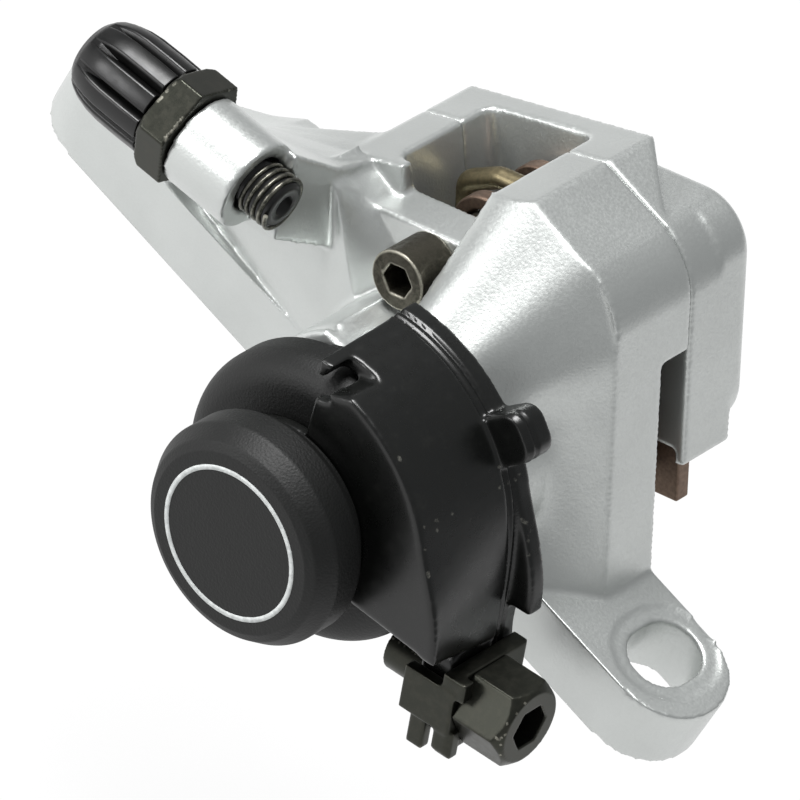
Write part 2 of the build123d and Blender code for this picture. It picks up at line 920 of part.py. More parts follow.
with BuildPart() as spindle_bush:
    with BuildSketch(hub.offset(bore_end)):
        Circle(bush_outer)
        Circle(bush_radius, mode=Mode.SUBTRACT)
    extrude(amount=boss_end - bore_end)
spindle_bush.part.label = "spindle_bush"

# Return spring in its room round the spindle's tube
with BuildPart() as return_spring:
    coil = Helix(
        pitch=spring_pitch,
        height=spring_pitch * spring_turns,
        radius=spring_radius,
        center=(
            spring_room_floor + spring_wire / 2 + seat_clearance,
            hub_along,
            hub_height,
        ),
        direction=(1, 0, 0),
    )
    with BuildSketch(Plane(origin=coil @ 0, z_dir=coil % 0)):
        Circle(spring_wire / 2)
    sweep(path=coil, is_frenet=True)
return_spring.part.label = "return_spring"

# Half sections through the mechanism axis: X across, radius up
section = Plane(origin=(0, hub_along, hub_height), x_dir=(1, 0, 0), z_dir=(0, -1, 0))

with BuildPart() as dust_cover:
    with BuildSketch(section):
        with BuildLine():
            drum_back = boss_end + loose_clearance
            drum_floor = drum_face - 2 * drum_wall
            Polyline(
                (drum_face, drum_radius - drum_round),
                (drum_face, shaft_radius + seat_clearance),
                (drum_back, shaft_radius + seat_clearance),
                (drum_back, tube_radius),
                (drum_floor, tube_radius),
                (drum_floor, spring_room_radius),
                (drum_back, spring_room_radius),
                (drum_back, drum_skirt_radius),
                (drum_start, drum_skirt_radius),
                (drum_start, drum_radius),
                (drum_face - drum_round, drum_radius),
            )
            RadiusArc(
                (drum_face - drum_round, drum_radius),
                (drum_face, drum_radius - drum_round),
                drum_round,
            )
        make_face()
    revolve(axis=axis)
dust_cover.part.label = "dust_cover"

with BuildPart() as hub_cap:
    with BuildSketch(section):
        with BuildLine():
            Polyline(
                (cap_face, cap_flat_radius),
                (cap_face, 0),
                (cap_face - cap_wall, 0),
                (cap_face - cap_wall, cap_neck_radius - cap_wall),
                (plate_end + seat_clearance, cap_neck_radius - cap_wall),
                (plate_end + seat_clearance, cap_neck_radius),
                (cap_back, cap_neck_radius),
                (cap_back, cap_radius - (cap_rim - cap_back) / 8),
                (cap_back + (cap_rim - cap_back) / 4, cap_radius),
                (cap_rim, cap_radius),
            )
            ThreePointArc(
                (cap_rim, cap_radius),
                (
                    cap_face - (cap_face - cap_rim) / 4,
                    cap_radius - (cap_radius - cap_flat_radius) / 3,
                ),
                (cap_face, cap_flat_radius),
            )
        make_face()
    revolve(axis=axis)
    with BuildSketch(hub.offset(cap_face)):
        Circle(ring_radius + ring_width / 2)
        Circle(ring_radius - ring_width / 2, mode=Mode.SUBTRACT)
    extrude(amount=-ring_depth, mode=Mode.SUBTRACT)
hub_cap.part.label = "hub_cap"

with BuildPart() as arm_washer:
    with BuildSketch(hub.offset(plate_end)):
        Circle(arm_washer_radius)
        Circle(arm_screw_radius + seat_clearance, mode=Mode.SUBTRACT)
    extrude(amount=arm_washer_thickness)
arm_washer.part.label = "arm_washer"

with BuildPart() as arm_screw:
    with BuildSketch(hub.offset(washer_top)):
        Circle(arm_screw_head_radius)
    extrude(amount=arm_screw_head_height)
    with BuildSketch(hub.offset(washer_top)):
        Circle(arm_screw_radius)
    extrude(amount=-(arm_screw_length - overrun))
    with BuildSketch(hub.offset(washer_top + arm_screw_head_height)):
        RegularPolygon(corner_radius(arm_screw_socket), 6)
    extrude(amount=-arm_screw_socket_depth, mode=Mode.SUBTRACT)
arm_screw.part.label = "arm_screw"

# Arm. Its wall runs round the axis, then straight down to the cable clamp. Every section
# is drawn by its outer radius, its spread at the foot and its depth
arm_bend = arm_lean


def arm_section(radius, foot, inner_foot, drop):
    """Face across the arm's wall, whose foot stands out and hangs down from the axis."""
    with BuildSketch() as sketch:
        with BuildLine():
            bend = radians(arm_bend)
            inner = radius - arm_wall
            outer_arc = CenterArc((0, 0), radius, arm_bend, arm_open_angle - arm_bend)
            inner_arc = CenterArc((0, 0), inner, arm_bend, arm_open_angle - arm_bend)
            Line(outer_arc @ 1, inner_arc @ 1)
            Spline(
                outer_arc @ 0,
                (foot, -drop),
                tangents=((sin(bend), -cos(bend)), (0, -1)),
            )
            Spline(
                inner_arc @ 0,
                (inner_foot, -drop),
                tangents=((sin(bend), -cos(bend)), (0, -1)),
            )
            Line((foot, -drop), (inner_foot, -drop))
        make_face()
    return sketch.sketch


with BuildPart() as actuating_arm:
    # Wall from the cable's seat to the face
    with BuildSketch(arm.offset(arm_start)):
        add(arm_section(arm_radius, arm_radius, arm_radius - arm_wall, arm_wall_drop))
    with BuildSketch(arm.offset(plate_end)):
        add(
            arm_section(
                arm_face_radius,
                arm_face_radius + face_flare,
                arm_face_radius + face_flare - arm_wall,
                face_drop,
            )
        )
    loft(ruled=True)
    # Guide flange beside the cable
    with BuildSketch(arm.offset(arm_start)):
        add(
            arm_section(
                arm_radius + seat_clearance,
                arm_radius + guide_rise,
                arm_radius - arm_wall,
                face_drop,
            )
        )
    extrude(amount=flange_width)
    # Plate over the face, with the hub in its corner
    with BuildSketch(arm.offset(plate_start)):
        with BuildLine():
            rim = CenterArc(
                (0, 0),
                arm_face_radius - seat_clearance,
                arm_bend,
                notch_angle - arm_bend,
            )
            Polyline(
                rim @ 1,
                (hub_plate_radius / 8, hub_plate_radius * 3 / 2),
                (0, 0),
                (hub_plate_radius, -face_drop + overrun),
                (arm_face_radius + face_flare - seat_clearance, -face_drop),
                rim @ 0,
            )
        make_face()
        Circle(hub_plate_radius)
    extrude(amount=arm_plate_thickness)
    # Hook: a notch frees the wall's upper end from the plate
    with BuildSketch(arm.offset(plate_end + overrun)):
        with BuildLine():
            notch_sweep = arm_open_angle - notch_angle + overrun
            far = CenterArc((0, 0), arm_radius + overrun, notch_angle, notch_sweep)
            Polyline(far @ 1, (0, arm_radius - 2 * arm_wall), far @ 0)
        make_face()
    extrude(amount=-(hook_drop + overrun), mode=Mode.SUBTRACT)
    with BuildSketch(arm.offset(plate_end + overrun)):
        with BuildLine():
            near = CenterArc(
                (0, 0), arm_radius + overrun, notch_angle, hook_angle - notch_angle
            )
            Polyline(near @ 1, (0, arm_radius - 2 * arm_wall), near @ 0)
        make_face()
    extrude(amount=-(notch_depth + overrun), mode=Mode.SUBTRACT)
    # Lug on the flange, with a round end
    lug_turn = radians(arm_lean + lug_angle)
    lug = Plane(
        origin=(arm_start - seat_clearance, hub_along, hub_height),
        x_dir=(0, cos(lug_turn), sin(lug_turn)),
        z_dir=(1, 0, 0),
    )
    with BuildSketch(lug):
        with Locations((arm_radius + lug_reach / 2 - arm_wall / 2, 0)):
            RectangleRounded(lug_reach + arm_wall, lug_length, arm_wall)
    extrude(amount=lug_width)
    # Tab for the cable clamp
    with BuildSketch(clamp.offset(clamp_seat - tab_thickness)):
        with Locations(
            ((tab_outboard - tab_inboard) / 2, (tab_below - tab_above) / 2)
        ):
            RectangleRounded(
                tab_inboard + tab_outboard, tab_below + tab_above, tab_thickness / 2
            )
    extrude(amount=tab_thickness)
    with BuildSketch(clamp):
        Circle(clamp_bolt_radius + running_clearance)
    extrude(amount=2 * clamp_seat, mode=Mode.SUBTRACT)
    # Square hole for the spindle
    with BuildSketch(arm.offset(drum_face)):
        Rectangle(shaft_square + 2 * seat_clearance, shaft_square + 2 * seat_clearance)
    extrude(amount=2 * arm_plate_thickness, mode=Mode.SUBTRACT)
actuating_arm.part.label = "actuating_arm"

# Clamp plate, folded round the outboard side of the tab
clamp_top = clamp_seat + clamp_gap + clamp_plate_thickness
fold_start = tab_outboard + clamp_gap
with BuildPart() as clamp_plate:
    with BuildSketch(clamp.offset(clamp_seat + clamp_gap)):
        with Locations(((fold_start - tab_inboard) / 2, (tab_below - plate_above) / 2)):
            Rectangle(fold_start + tab_inboard, tab_below + plate_above)
    extrude(amount=clamp_plate_thickness)
    with BuildSketch(clamp.offset(clamp_seat - tab_thickness)):
        with Locations((fold_start + clamp_plate_fold / 2, tab_below / 2)):
            Rectangle(clamp_plate_fold, tab_below + clamp_plate_fold)
    extrude(amount=clamp_top - clamp_seat + tab_thickness)
    with BuildSketch(clamp.offset(clamp_seat)):
        Circle(clamp_bolt_radius + seat_clearance)
    extrude(amount=2 * clamp_plate_thickness, mode=Mode.SUBTRACT)
clamp_plate.part.label = "clamp_plate"


def turned_hexagon(plane, across, height, dome, turn):
    """Hexagon block whose corners are turned down at its far end."""
    with BuildPart() as turned:
        with BuildSketch(plane):
            Circle(corner_radius(across))
        extrude(amount=height)
        chamfer(turned.edges().group_by(Axis(plane.origin, plane.z_dir))[-1], dome)
        with BuildSketch(plane):
            RegularPolygon(corner_radius(across), 6, rotation=turn)
        extrude(amount=height, mode=Mode.INTERSECT)
    return turned.part


with BuildPart() as clamp_bolt:
    add(
        turned_hexagon(
            clamp.offset(clamp_top + seat_clearance),
            clamp_head_across,
            clamp_head_height,
            clamp_head_dome,
            0,
        )
    )
    with BuildSketch(clamp.offset(clamp_top + overrun)):
        Circle(clamp_bolt_radius)
    extrude(amount=-(clamp_bolt_length + overrun))
    with BuildSketch(clamp.offset(clamp_top + seat_clearance + clamp_head_height)):
        RegularPolygon(corner_radius(clamp_socket), 6)
    extrude(amount=-clamp_socket_depth, mode=Mode.SUBTRACT)
clamp_bolt.part.label = "clamp_bolt"

# Barrel adjuster: threaded stem, fluted knob, socket for the cable's casing
nut_start = barrel_tail + barrel_boss_length + nut_gap
knob_start = nut_start + nut_thickness + loose_clearance
barrel_end = knob_start + knob_length
barrel_section = Plane(
    origin=barrel_start,
    x_dir=(0, -cos(rise), -sin(rise)),
    z_dir=(0, sin(rise), -cos(rise)),
)
barrel_axis = Axis(barrel_start, (0, -cos(rise), -sin(rise)))
with BuildPart() as barrel_adjuster:
    with BuildSketch(barrel_section):
        with BuildLine():
            Polyline(
                (0, cable_bore),
                (0, barrel_radius - nut_gap * 2),
                (nut_gap * 2, barrel_radius),
                (knob_start, barrel_radius),
                (knob_start, knob_radius - knob_round / 2),
                (knob_start + knob_round / 2, knob_radius),
                (barrel_end - knob_taper, knob_radius),
            )
            Spline(
                (barrel_end - knob_taper, knob_radius),
                (barrel_end - knob_round, knob_end_radius + knob_round / 2),
                (barrel_end, knob_end_radius - knob_round / 2),
                tangents=((1, 0), (1, -2)),
            )
            Polyline(
                (barrel_end, knob_end_radius - knob_round / 2),
                (barrel_end, casing_radius),
                (barrel_end - casing_depth, casing_radius),
                (barrel_end - casing_depth, cable_bore),
                (0, cable_bore),
            )
        make_face()
    revolve(axis=barrel_axis)
    with BuildSketch(barrel.offset(knob_start)):
        with PolarLocations(knob_radius + flute_radius - flute_depth, flute_count):
            Circle(flute_radius)
    extrude(amount=knob_length - knob_taper / 2, mode=Mode.SUBTRACT)
barrel_adjuster.part.label = "barrel_adjuster"

with BuildPart() as lock_nut:
    add(turned_hexagon(barrel.offset(nut_start), nut_across, nut_thickness, nut_chamfer, nut_turn))
    with BuildSketch(barrel.offset(nut_start)):
        Circle(barrel_radius + running_clearance)
    extrude(amount=nut_thickness, mode=Mode.SUBTRACT)
lock_nut.part.label = "lock_nut"

# Pad adjuster in the inboard half
adjuster_front = pad_back_in - seat_clearance
with BuildPart() as pad_adjuster:
    with BuildSketch(hub.offset(inboard_back)):
        Circle(adjuster_radius)
    extrude(amount=adjuster_front - inboard_back)
    with BuildSketch(hub.offset(adjuster_front)):
        Circle(adjuster_flange_radius)
    extrude(amount=-(adjuster_flange_thickness + pocket_room / 2))
    with BuildSketch(hub.offset(inboard_back)):
        RegularPolygon(corner_radius(adjuster_socket), 6)
    extrude(amount=adjuster_socket_depth, mode=Mode.SUBTRACT)
pad_adjuster.part.label = "pad_adjuster"

with BuildPart() as adjuster_ring:
    with BuildSketch(hub.offset(adjuster_groove + seat_clearance)):
        Circle(adjuster_radius + adjuster_ring_section - seat_clearance)
        Circle(adjuster_radius + running_clearance, mode=Mode.SUBTRACT)
    extrude(amount=2 * (adjuster_ring_section - seat_clearance))
adjuster_ring.part.label = "adjuster_ring"

for piece in (
    outboard_body,
    inboard_body,
    pad_axle,
    axle_clip,
    pad_spring,
    body_screws,
    piston,
    ramp_balls,
    piston_ring,
    drive_spindle,
    thrust_washer,
    spindle_bush,
    return_spring,
    dust_cover,
    hub_cap,
    arm_washer,
    arm_screw,
    actuating_arm,
    clamp_plate,
    clamp_bolt,
    barrel_adjuster,
    lock_nut,
    pad_adjuster,
    adjuster_ring,
):
    export_step(piece.part, f"parts/{piece.part.label}.step")
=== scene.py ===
import json
from math import cos, exp, hypot, pi, radians, sin, tan

import bmesh
import bpy
from mathutils import Matrix, Vector


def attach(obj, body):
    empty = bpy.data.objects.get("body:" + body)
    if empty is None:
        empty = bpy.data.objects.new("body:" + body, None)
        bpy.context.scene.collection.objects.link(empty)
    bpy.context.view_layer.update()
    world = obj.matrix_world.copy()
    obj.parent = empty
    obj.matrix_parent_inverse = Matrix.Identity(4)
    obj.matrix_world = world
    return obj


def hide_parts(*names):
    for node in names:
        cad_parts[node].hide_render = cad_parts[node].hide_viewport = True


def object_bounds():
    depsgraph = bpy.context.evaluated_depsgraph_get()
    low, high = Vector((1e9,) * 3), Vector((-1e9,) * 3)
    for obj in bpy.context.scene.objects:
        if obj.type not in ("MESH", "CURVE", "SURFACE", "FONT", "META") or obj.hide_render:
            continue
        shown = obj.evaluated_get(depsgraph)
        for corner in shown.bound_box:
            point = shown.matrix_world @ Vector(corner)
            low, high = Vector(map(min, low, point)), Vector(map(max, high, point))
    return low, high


bl_info = {
    "name": "Cable disc brake caliper",
    "version": (1, 0, 0),
    "blender": (4, 5, 0),
    "location": "View3D > Sidebar > Caliper",
    "description": "Dresses a post mount disc brake caliper over its construction model",
    "category": "Add Mesh",
}

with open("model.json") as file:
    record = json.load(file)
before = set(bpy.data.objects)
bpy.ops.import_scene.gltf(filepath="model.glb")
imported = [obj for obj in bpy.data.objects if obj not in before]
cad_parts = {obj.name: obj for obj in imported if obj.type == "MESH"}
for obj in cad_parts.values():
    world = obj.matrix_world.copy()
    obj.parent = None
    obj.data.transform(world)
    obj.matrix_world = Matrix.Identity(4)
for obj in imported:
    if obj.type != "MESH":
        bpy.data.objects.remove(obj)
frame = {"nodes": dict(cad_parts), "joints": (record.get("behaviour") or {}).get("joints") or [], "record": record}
cad_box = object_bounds()
mm = 0.001
# Points nearer than this are one point
weld_gap = 0.002 * mm

# Lines and places of the construction model that the pieces are built on
joints = {joint["name"]: joint for joint in frame["joints"]}
hub_centre = Vector(joints["arm_turn"]["pos_m"])
barrel_out = Vector(joints["lock_nut_turn"]["axis"]).normalized()
barrel_centre = Vector(joints["lock_nut_turn"]["pos_m"])
clamp_out = Vector(joints["clamp_bolt_turn"]["axis"]).normalized()
clamp_centre = Vector(joints["clamp_bolt_turn"]["pos_m"])
body_of_node = {
    node: body for body, nodes in frame["record"]["behaviour"]["bodies"].items() for node in nodes
}
slot_of_node = {
    part["node"]: part["material_slot"] for part in frame["record"]["subparts"]
}


# Settings that a user would change


class SilverSettings(bpy.types.PropertyGroup):
    """Painted forged halves."""

    paint: bpy.props.StringProperty(
        name="Paint", description="Colour of the silver paint", default="#CFD2D0"
    )
    voxel: bpy.props.FloatProperty(
        name="Voxel", description="Grid that rounds the forging's edges", default=0.3 * mm, unit="LENGTH"
    )
    rounding: bpy.props.IntProperty(
        name="Rounding", description="Smoothing passes on the edges", default=3
    )


class BlackSettings(bpy.types.PropertyGroup):
    """Black painted arm, grained cap and moulded knob."""

    paint: bpy.props.StringProperty(
        name="Paint", description="Colour of the arm's paint", default="#0D0E0D"
    )
    grained: bpy.props.StringProperty(
        name="Grained", description="Colour of the cap's plastic", default="#0E0F0E"
    )
    moulded: bpy.props.StringProperty(
        name="Moulded", description="Colour of the knob", default="#0D0D0D"
    )
    voxel: bpy.props.FloatProperty(
        name="Voxel", description="Grid that rounds the arm's edges", default=0.22 * mm, unit="LENGTH"
    )
    groove: bpy.props.FloatProperty(
        name="Groove", description="Depth of the arm's rolled grooves", default=0.26 * mm, unit="LENGTH"
    )
    rounding: bpy.props.IntProperty(
        name="Rounding", description="Smoothing passes on the arm", default=14
    )
    ribs: bpy.props.IntProperty(name="Ribs", description="Ribs round the knob", default=10)


class SteelSettings(bpy.types.PropertyGroup):
    """Fasteners, spring and pads."""

    oxide: bpy.props.StringProperty(
        name="Oxide", description="Colour of blackened steel", default="#383933"
    )
    zinc: bpy.props.StringProperty(
        name="Zinc", description="Colour of dull plated steel", default="#4B483F"
    )
    bronze: bpy.props.StringProperty(
        name="Bronze", description="Colour of the pad spring", default="#8F8468"
    )
    edge: bpy.props.FloatProperty(
        name="Edge", description="Rounding of pressed edges", default=0.25 * mm, unit="LENGTH"
    )
    voxel: bpy.props.FloatProperty(
        name="Voxel", description="Grid that rounds the fasteners' edges", default=0.12 * mm, unit="LENGTH"
    )
    rounding: bpy.props.IntProperty(
        name="Rounding", description="Smoothing passes on fasteners", default=3
    )


class StageSettings(bpy.types.PropertyGroup):
    """Camera and floor."""

    azimuth: bpy.props.FloatProperty(
        name="Azimuth", description="Camera's bearing from X", default=radians(19.36), subtype="ANGLE"
    )
    elevation: bpy.props.FloatProperty(
        name="Elevation", description="Camera's height angle", default=radians(45.02), subtype="ANGLE"
    )
    roll: bpy.props.FloatProperty(
        name="Roll", description="Turn of the picture", default=radians(33.74), subtype="ANGLE"
    )
    distance: bpy.props.FloatProperty(
        name="Distance", description="From the camera to its aim", default=900 * mm, unit="LENGTH"
    )
    aim: bpy.props.FloatVectorProperty(
        name="Aim", description="Point at the picture's middle", default=(1.54 * mm, 1.84 * mm, 5.14 * mm),
        unit="LENGTH",
    )
    lens: bpy.props.FloatProperty(name="Lens", description="Focal length in mm", default=430.5)
    floor_drop: bpy.props.FloatProperty(
        name="Floor drop", description="From the object down to the floor", default=60 * mm, unit="LENGTH"
    )


# Materials


def linear(hex_colour):
    """Linear colour of an sRGB hex value."""
    channels = [int(hex_colour[place : place + 2], 16) / 255 for place in (1, 3, 5)]
    return [c / 12.92 if c <= 0.04045 else ((c + 0.055) / 1.055) ** 2.4 for c in channels] + [1.0]


def per_metre(size_mm):
    """Scale of a pattern whose features are of a size in millimetres."""
    return 1000 / size_mm


def add_node(tree, kind, settings=None, inputs=None):
    """A node with its settings; each input is a value or the socket that feeds it."""
    node = tree.nodes.new(kind)
    for name, value in (settings or {}).items():
        setattr(node, name, value)
    for name, value in (inputs or {}).items():
        if isinstance(value, bpy.types.NodeSocket):
            tree.links.new(value, node.inputs[name])
        else:
            node.inputs[name].default_value = value
    return node


def start_material(name):
    """An empty material with a reading of object coordinates."""
    material = bpy.data.materials.new(name)
    material.use_nodes = True
    tree = material.node_tree
    tree.nodes.clear()
    place = add_node(tree, "ShaderNodeTexCoord").outputs["Object"]
    return material, tree, place


def close_material(tree, surface):
    """Ends a material's tree with the shader that it gives."""
    add_node(tree, "ShaderNodeOutputMaterial", inputs={"Surface": surface})


def shaded(colour, share):
    """A colour with its channels at a share of their value."""
    return [channel * share for channel in colour[:3]] + [1.0]


def silver_paint(hex_colour):
    """Silver enamel on forged aluminium: satin flake paint, darkened in its hollows by painted shade and specks of
    grime.
    """
    material, tree, place = start_material("silver_enamel_on_forged_aluminium")
    flake = add_node(
        tree, "ShaderNodeTexNoise", inputs={"Vector": place, "Scale": per_metre(0.3), "Detail": 2.0}
    ).outputs["Fac"]
    cloud = add_node(
        tree, "ShaderNodeTexNoise", inputs={"Vector": place, "Scale": per_metre(9), "Detail": 3.0}
    ).outputs["Fac"]
    speck = add_node(
        tree, "ShaderNodeTexNoise", inputs={"Vector": place, "Scale": per_metre(0.9), "Detail": 4.0}
    ).outputs["Fac"]
    hollow = add_node(tree, "ShaderNodeNewGeometry").outputs["Pointiness"]
    # The paint is a little uneven over the forging
    patch = add_node(
        tree, "ShaderNodeMapRange", inputs={"Value": cloud, "From Min": 0.35, "From Max": 0.65}
    ).outputs["Result"]
    paint = linear(hex_colour)
    shade = add_node(
        tree, "ShaderNodeMix", {"data_type": "RGBA"}, {0: patch, 6: shaded(paint, 0.93), 7: paint}
    ).outputs[2]
    # Painted shade and grime darken the hollows only, in specks
    hollow_shade = add_node(
        tree, "ShaderNodeMapRange",
        inputs={"Value": hollow, "From Min": 0.40, "From Max": 0.47, "To Min": 1, "To Max": 0},
    ).outputs["Result"]
    specked = add_node(
        tree, "ShaderNodeMapRange",
        inputs={"Value": speck, "From Min": 0.42, "From Max": 0.6, "To Min": 0.2, "To Max": 0.8},
    ).outputs["Result"]
    shade_and_grime = add_node(
        tree, "ShaderNodeMath", {"operation": "MULTIPLY"}, {0: hollow_shade, 1: specked}
    ).outputs["Value"]
    # The grey-brown of the painted shade and grime goes into the hollows
    colour = add_node(
        tree, "ShaderNodeMix", {"data_type": "RGBA"}, {0: shade_and_grime, 6: shade, 7: linear("#77776F")}
    ).outputs[2]
    gloss = add_node(
        tree, "ShaderNodeMapRange",
        inputs={"Value": flake, "From Min": 0.3, "From Max": 0.7, "To Min": 0.34, "To Max": 0.44},
    ).outputs["Result"]
    bump = add_node(
        tree, "ShaderNodeBump", inputs={"Height": flake, "Strength": 0.4, "Distance": 0.05 * mm}
    ).outputs["Normal"]
    shader = add_node(
        tree, "ShaderNodeBsdfPrincipled",
        inputs={"Base Color": colour, "Metallic": 0.8, "Roughness": gloss, "Normal": bump,
                "Coat Weight": 0.25, "Coat Roughness": 0.22},
    )
    close_material(tree, shader.outputs["BSDF"])
    return material


def black_paint(hex_colour):
    """Black paint on pressed steel: glossy, orange-peeled, rubbed through at the edges."""
    material, tree, place = start_material("black_paint_on_pressed_steel")
    peel = add_node(
        tree, "ShaderNodeTexNoise", inputs={"Vector": place, "Scale": per_metre(0.8), "Detail": 2.0}
    ).outputs["Fac"]
    scuff = add_node(
        tree, "ShaderNodeTexNoise",
        inputs={"Vector": place, "Scale": per_metre(1.6), "Detail": 8.0, "Roughness": 0.75},
    ).outputs["Fac"]
    edge = add_node(tree, "ShaderNodeNewGeometry").outputs["Pointiness"]
    # Bare steel shows on sharp edges, in scuffs
    sharp = add_node(
        tree, "ShaderNodeMapRange",
        inputs={"Value": edge, "From Min": 0.59, "From Max": 0.66, "To Max": 0.8},
    ).outputs["Result"]
    scuffed = add_node(
        tree, "ShaderNodeMapRange", inputs={"Value": scuff, "From Min": 0.47, "From Max": 0.62}
    ).outputs["Result"]
    worn = add_node(
        tree, "ShaderNodeMath", {"operation": "MULTIPLY"}, {0: sharp, 1: scuffed}
    ).outputs["Value"]
    dust = add_node(
        tree, "ShaderNodeMapRange",
        inputs={"Value": scuff, "From Min": 0.55, "From Max": 0.8, "To Max": 0.08},
    ).outputs["Result"]
    painted = add_node(
        tree, "ShaderNodeMix", {"data_type": "RGBA"}, {0: dust, 6: linear(hex_colour), 7: linear("#55554E")}
    ).outputs[2]
    gloss = add_node(
        tree, "ShaderNodeMapRange",
        inputs={"Value": scuff, "From Min": 0.35, "From Max": 0.7, "To Min": 0.26, "To Max": 0.34},
    ).outputs["Result"]
    bump = add_node(
        tree, "ShaderNodeBump", inputs={"Height": peel, "Strength": 0.08, "Distance": 0.05 * mm}
    ).outputs["Normal"]
    paint = add_node(
        tree, "ShaderNodeBsdfPrincipled",
        inputs={"Base Color": painted, "Roughness": gloss, "IOR": 1.5, "Normal": bump},
    )
    steel = add_node(
        tree, "ShaderNodeBsdfPrincipled",
        inputs={"Base Color": linear("#B8B6AC"), "Metallic": 1.0, "Roughness": 0.35, "Normal": bump},
    )
    mix = add_node(
        tree, "ShaderNodeMixShader", inputs={0: worn, 1: paint.outputs["BSDF"], 2: steel.outputs["BSDF"]}
    )
    close_material(tree, mix.outputs["Shader"])
    return material


def grained_plastic(hex_colour):
    """Black nylon moulded in a spark-eroded tool: an even pebble grain, half matt."""
    material, tree, place = start_material("nylon_moulded_with_fine_grain")
    pebble = add_node(
        tree, "ShaderNodeTexVoronoi", {"feature": "SMOOTH_F1"},
        {"Vector": place, "Scale": per_metre(0.28), "Smoothness": 0.6},
    ).outputs["Distance"]
    fine = add_node(
        tree, "ShaderNodeTexNoise", inputs={"Vector": place, "Scale": per_metre(0.18), "Detail": 3.0}
    ).outputs["Fac"]
    cloud = add_node(
        tree, "ShaderNodeTexNoise", inputs={"Vector": place, "Scale": per_metre(4), "Detail": 4.0}
    ).outputs["Fac"]
    grain = add_node(tree, "ShaderNodeMath", {"operation": "ADD"}, {0: pebble, 1: fine}).outputs["Value"]
    patch = add_node(
        tree, "ShaderNodeMapRange", inputs={"Value": cloud, "From Min": 0.35, "From Max": 0.7}
    ).outputs["Result"]
    plastic = linear(hex_colour)
    colour = add_node(
        tree, "ShaderNodeMix", {"data_type": "RGBA"}, {0: patch, 6: shaded(plastic, 0.8), 7: plastic}
    ).outputs[2]
    bump = add_node(
        tree, "ShaderNodeBump", inputs={"Height": grain, "Strength": 0.4, "Distance": 0.06 * mm}
    ).outputs["Normal"]
    shader = add_node(
        tree, "ShaderNodeBsdfPrincipled",
        inputs={"Base Color": colour, "Roughness": 0.55, "IOR": 1.45, "Normal": bump},
    )
    close_material(tree, shader.outputs["BSDF"])
    return material


def moulded_plastic(hex_colour):
    """Black acetal knob: smooth tool, soft gloss, with faint handling marks."""
    material, tree, place = start_material("acetal_moulded_glossy")
    scratch = add_node(
        tree, "ShaderNodeTexNoise", inputs={"Vector": place, "Scale": per_metre(1.2), "Detail": 3.0}
    ).outputs["Fac"]
    gloss = add_node(
        tree, "ShaderNodeMapRange",
        inputs={"Value": scratch, "From Min": 0.4, "From Max": 0.7, "To Min": 0.3, "To Max": 0.38},
    ).outputs["Result"]
    bump = add_node(
        tree, "ShaderNodeBump", inputs={"Height": scratch, "Strength": 0.05, "Distance": 0.04 * mm}
    ).outputs["Normal"]
    shader = add_node(
        tree, "ShaderNodeBsdfPrincipled",
        inputs={"Base Color": linear(hex_colour), "Roughness": gloss, "IOR": 1.48, "Normal": bump},
    )
    close_material(tree, shader.outputs["BSDF"])
    return material


def blackened_steel(hex_colour):
    """Black oxide on steel: dark, slightly oily, rubbed bright on the corners."""
    material, tree, place = start_material("black_oxide_on_turned_steel")
    rub = add_node(
        tree, "ShaderNodeTexNoise",
        inputs={"Vector": place, "Scale": per_metre(1.1), "Detail": 7.0, "Roughness": 0.7},
    ).outputs["Fac"]
    edge = add_node(tree, "ShaderNodeNewGeometry").outputs["Pointiness"]
    # Bright steel shows on corners, where tools and hands rub
    sharp = add_node(
        tree, "ShaderNodeMapRange",
        inputs={"Value": edge, "From Min": 0.54, "From Max": 0.62, "To Max": 0.6},
    ).outputs["Result"]
    rubbed = add_node(
        tree, "ShaderNodeMapRange", inputs={"Value": rub, "From Min": 0.42, "From Max": 0.6, "To Min": 0.1}
    ).outputs["Result"]
    worn = add_node(
        tree, "ShaderNodeMath", {"operation": "MULTIPLY"}, {0: sharp, 1: rubbed}
    ).outputs["Value"]
    fade = add_node(
        tree, "ShaderNodeMapRange",
        inputs={"Value": rub, "From Min": 0.45, "From Max": 0.7, "To Max": 0.35},
    ).outputs["Result"]
    faded = add_node(
        tree, "ShaderNodeMix", {"data_type": "RGBA"}, {0: fade, 6: linear(hex_colour), 7: linear("#504E46")}
    ).outputs[2]
    colour = add_node(
        tree, "ShaderNodeMix", {"data_type": "RGBA"}, {0: worn, 6: faded, 7: linear("#C9C6B8")}
    ).outputs[2]
    gloss = add_node(
        tree, "ShaderNodeMapRange",
        inputs={"Value": rub, "From Min": 0.3, "From Max": 0.7, "To Min": 0.3, "To Max": 0.42},
    ).outputs["Result"]
    bump = add_node(
        tree, "ShaderNodeBump", inputs={"Height": rub, "Strength": 0.07, "Distance": 0.04 * mm}
    ).outputs["Normal"]
    shader = add_node(
        tree, "ShaderNodeBsdfPrincipled",
        inputs={"Base Color": colour, "Metallic": 0.85, "Roughness": gloss, "Normal": bump},
    )
    close_material(tree, shader.outputs["BSDF"])
    return material


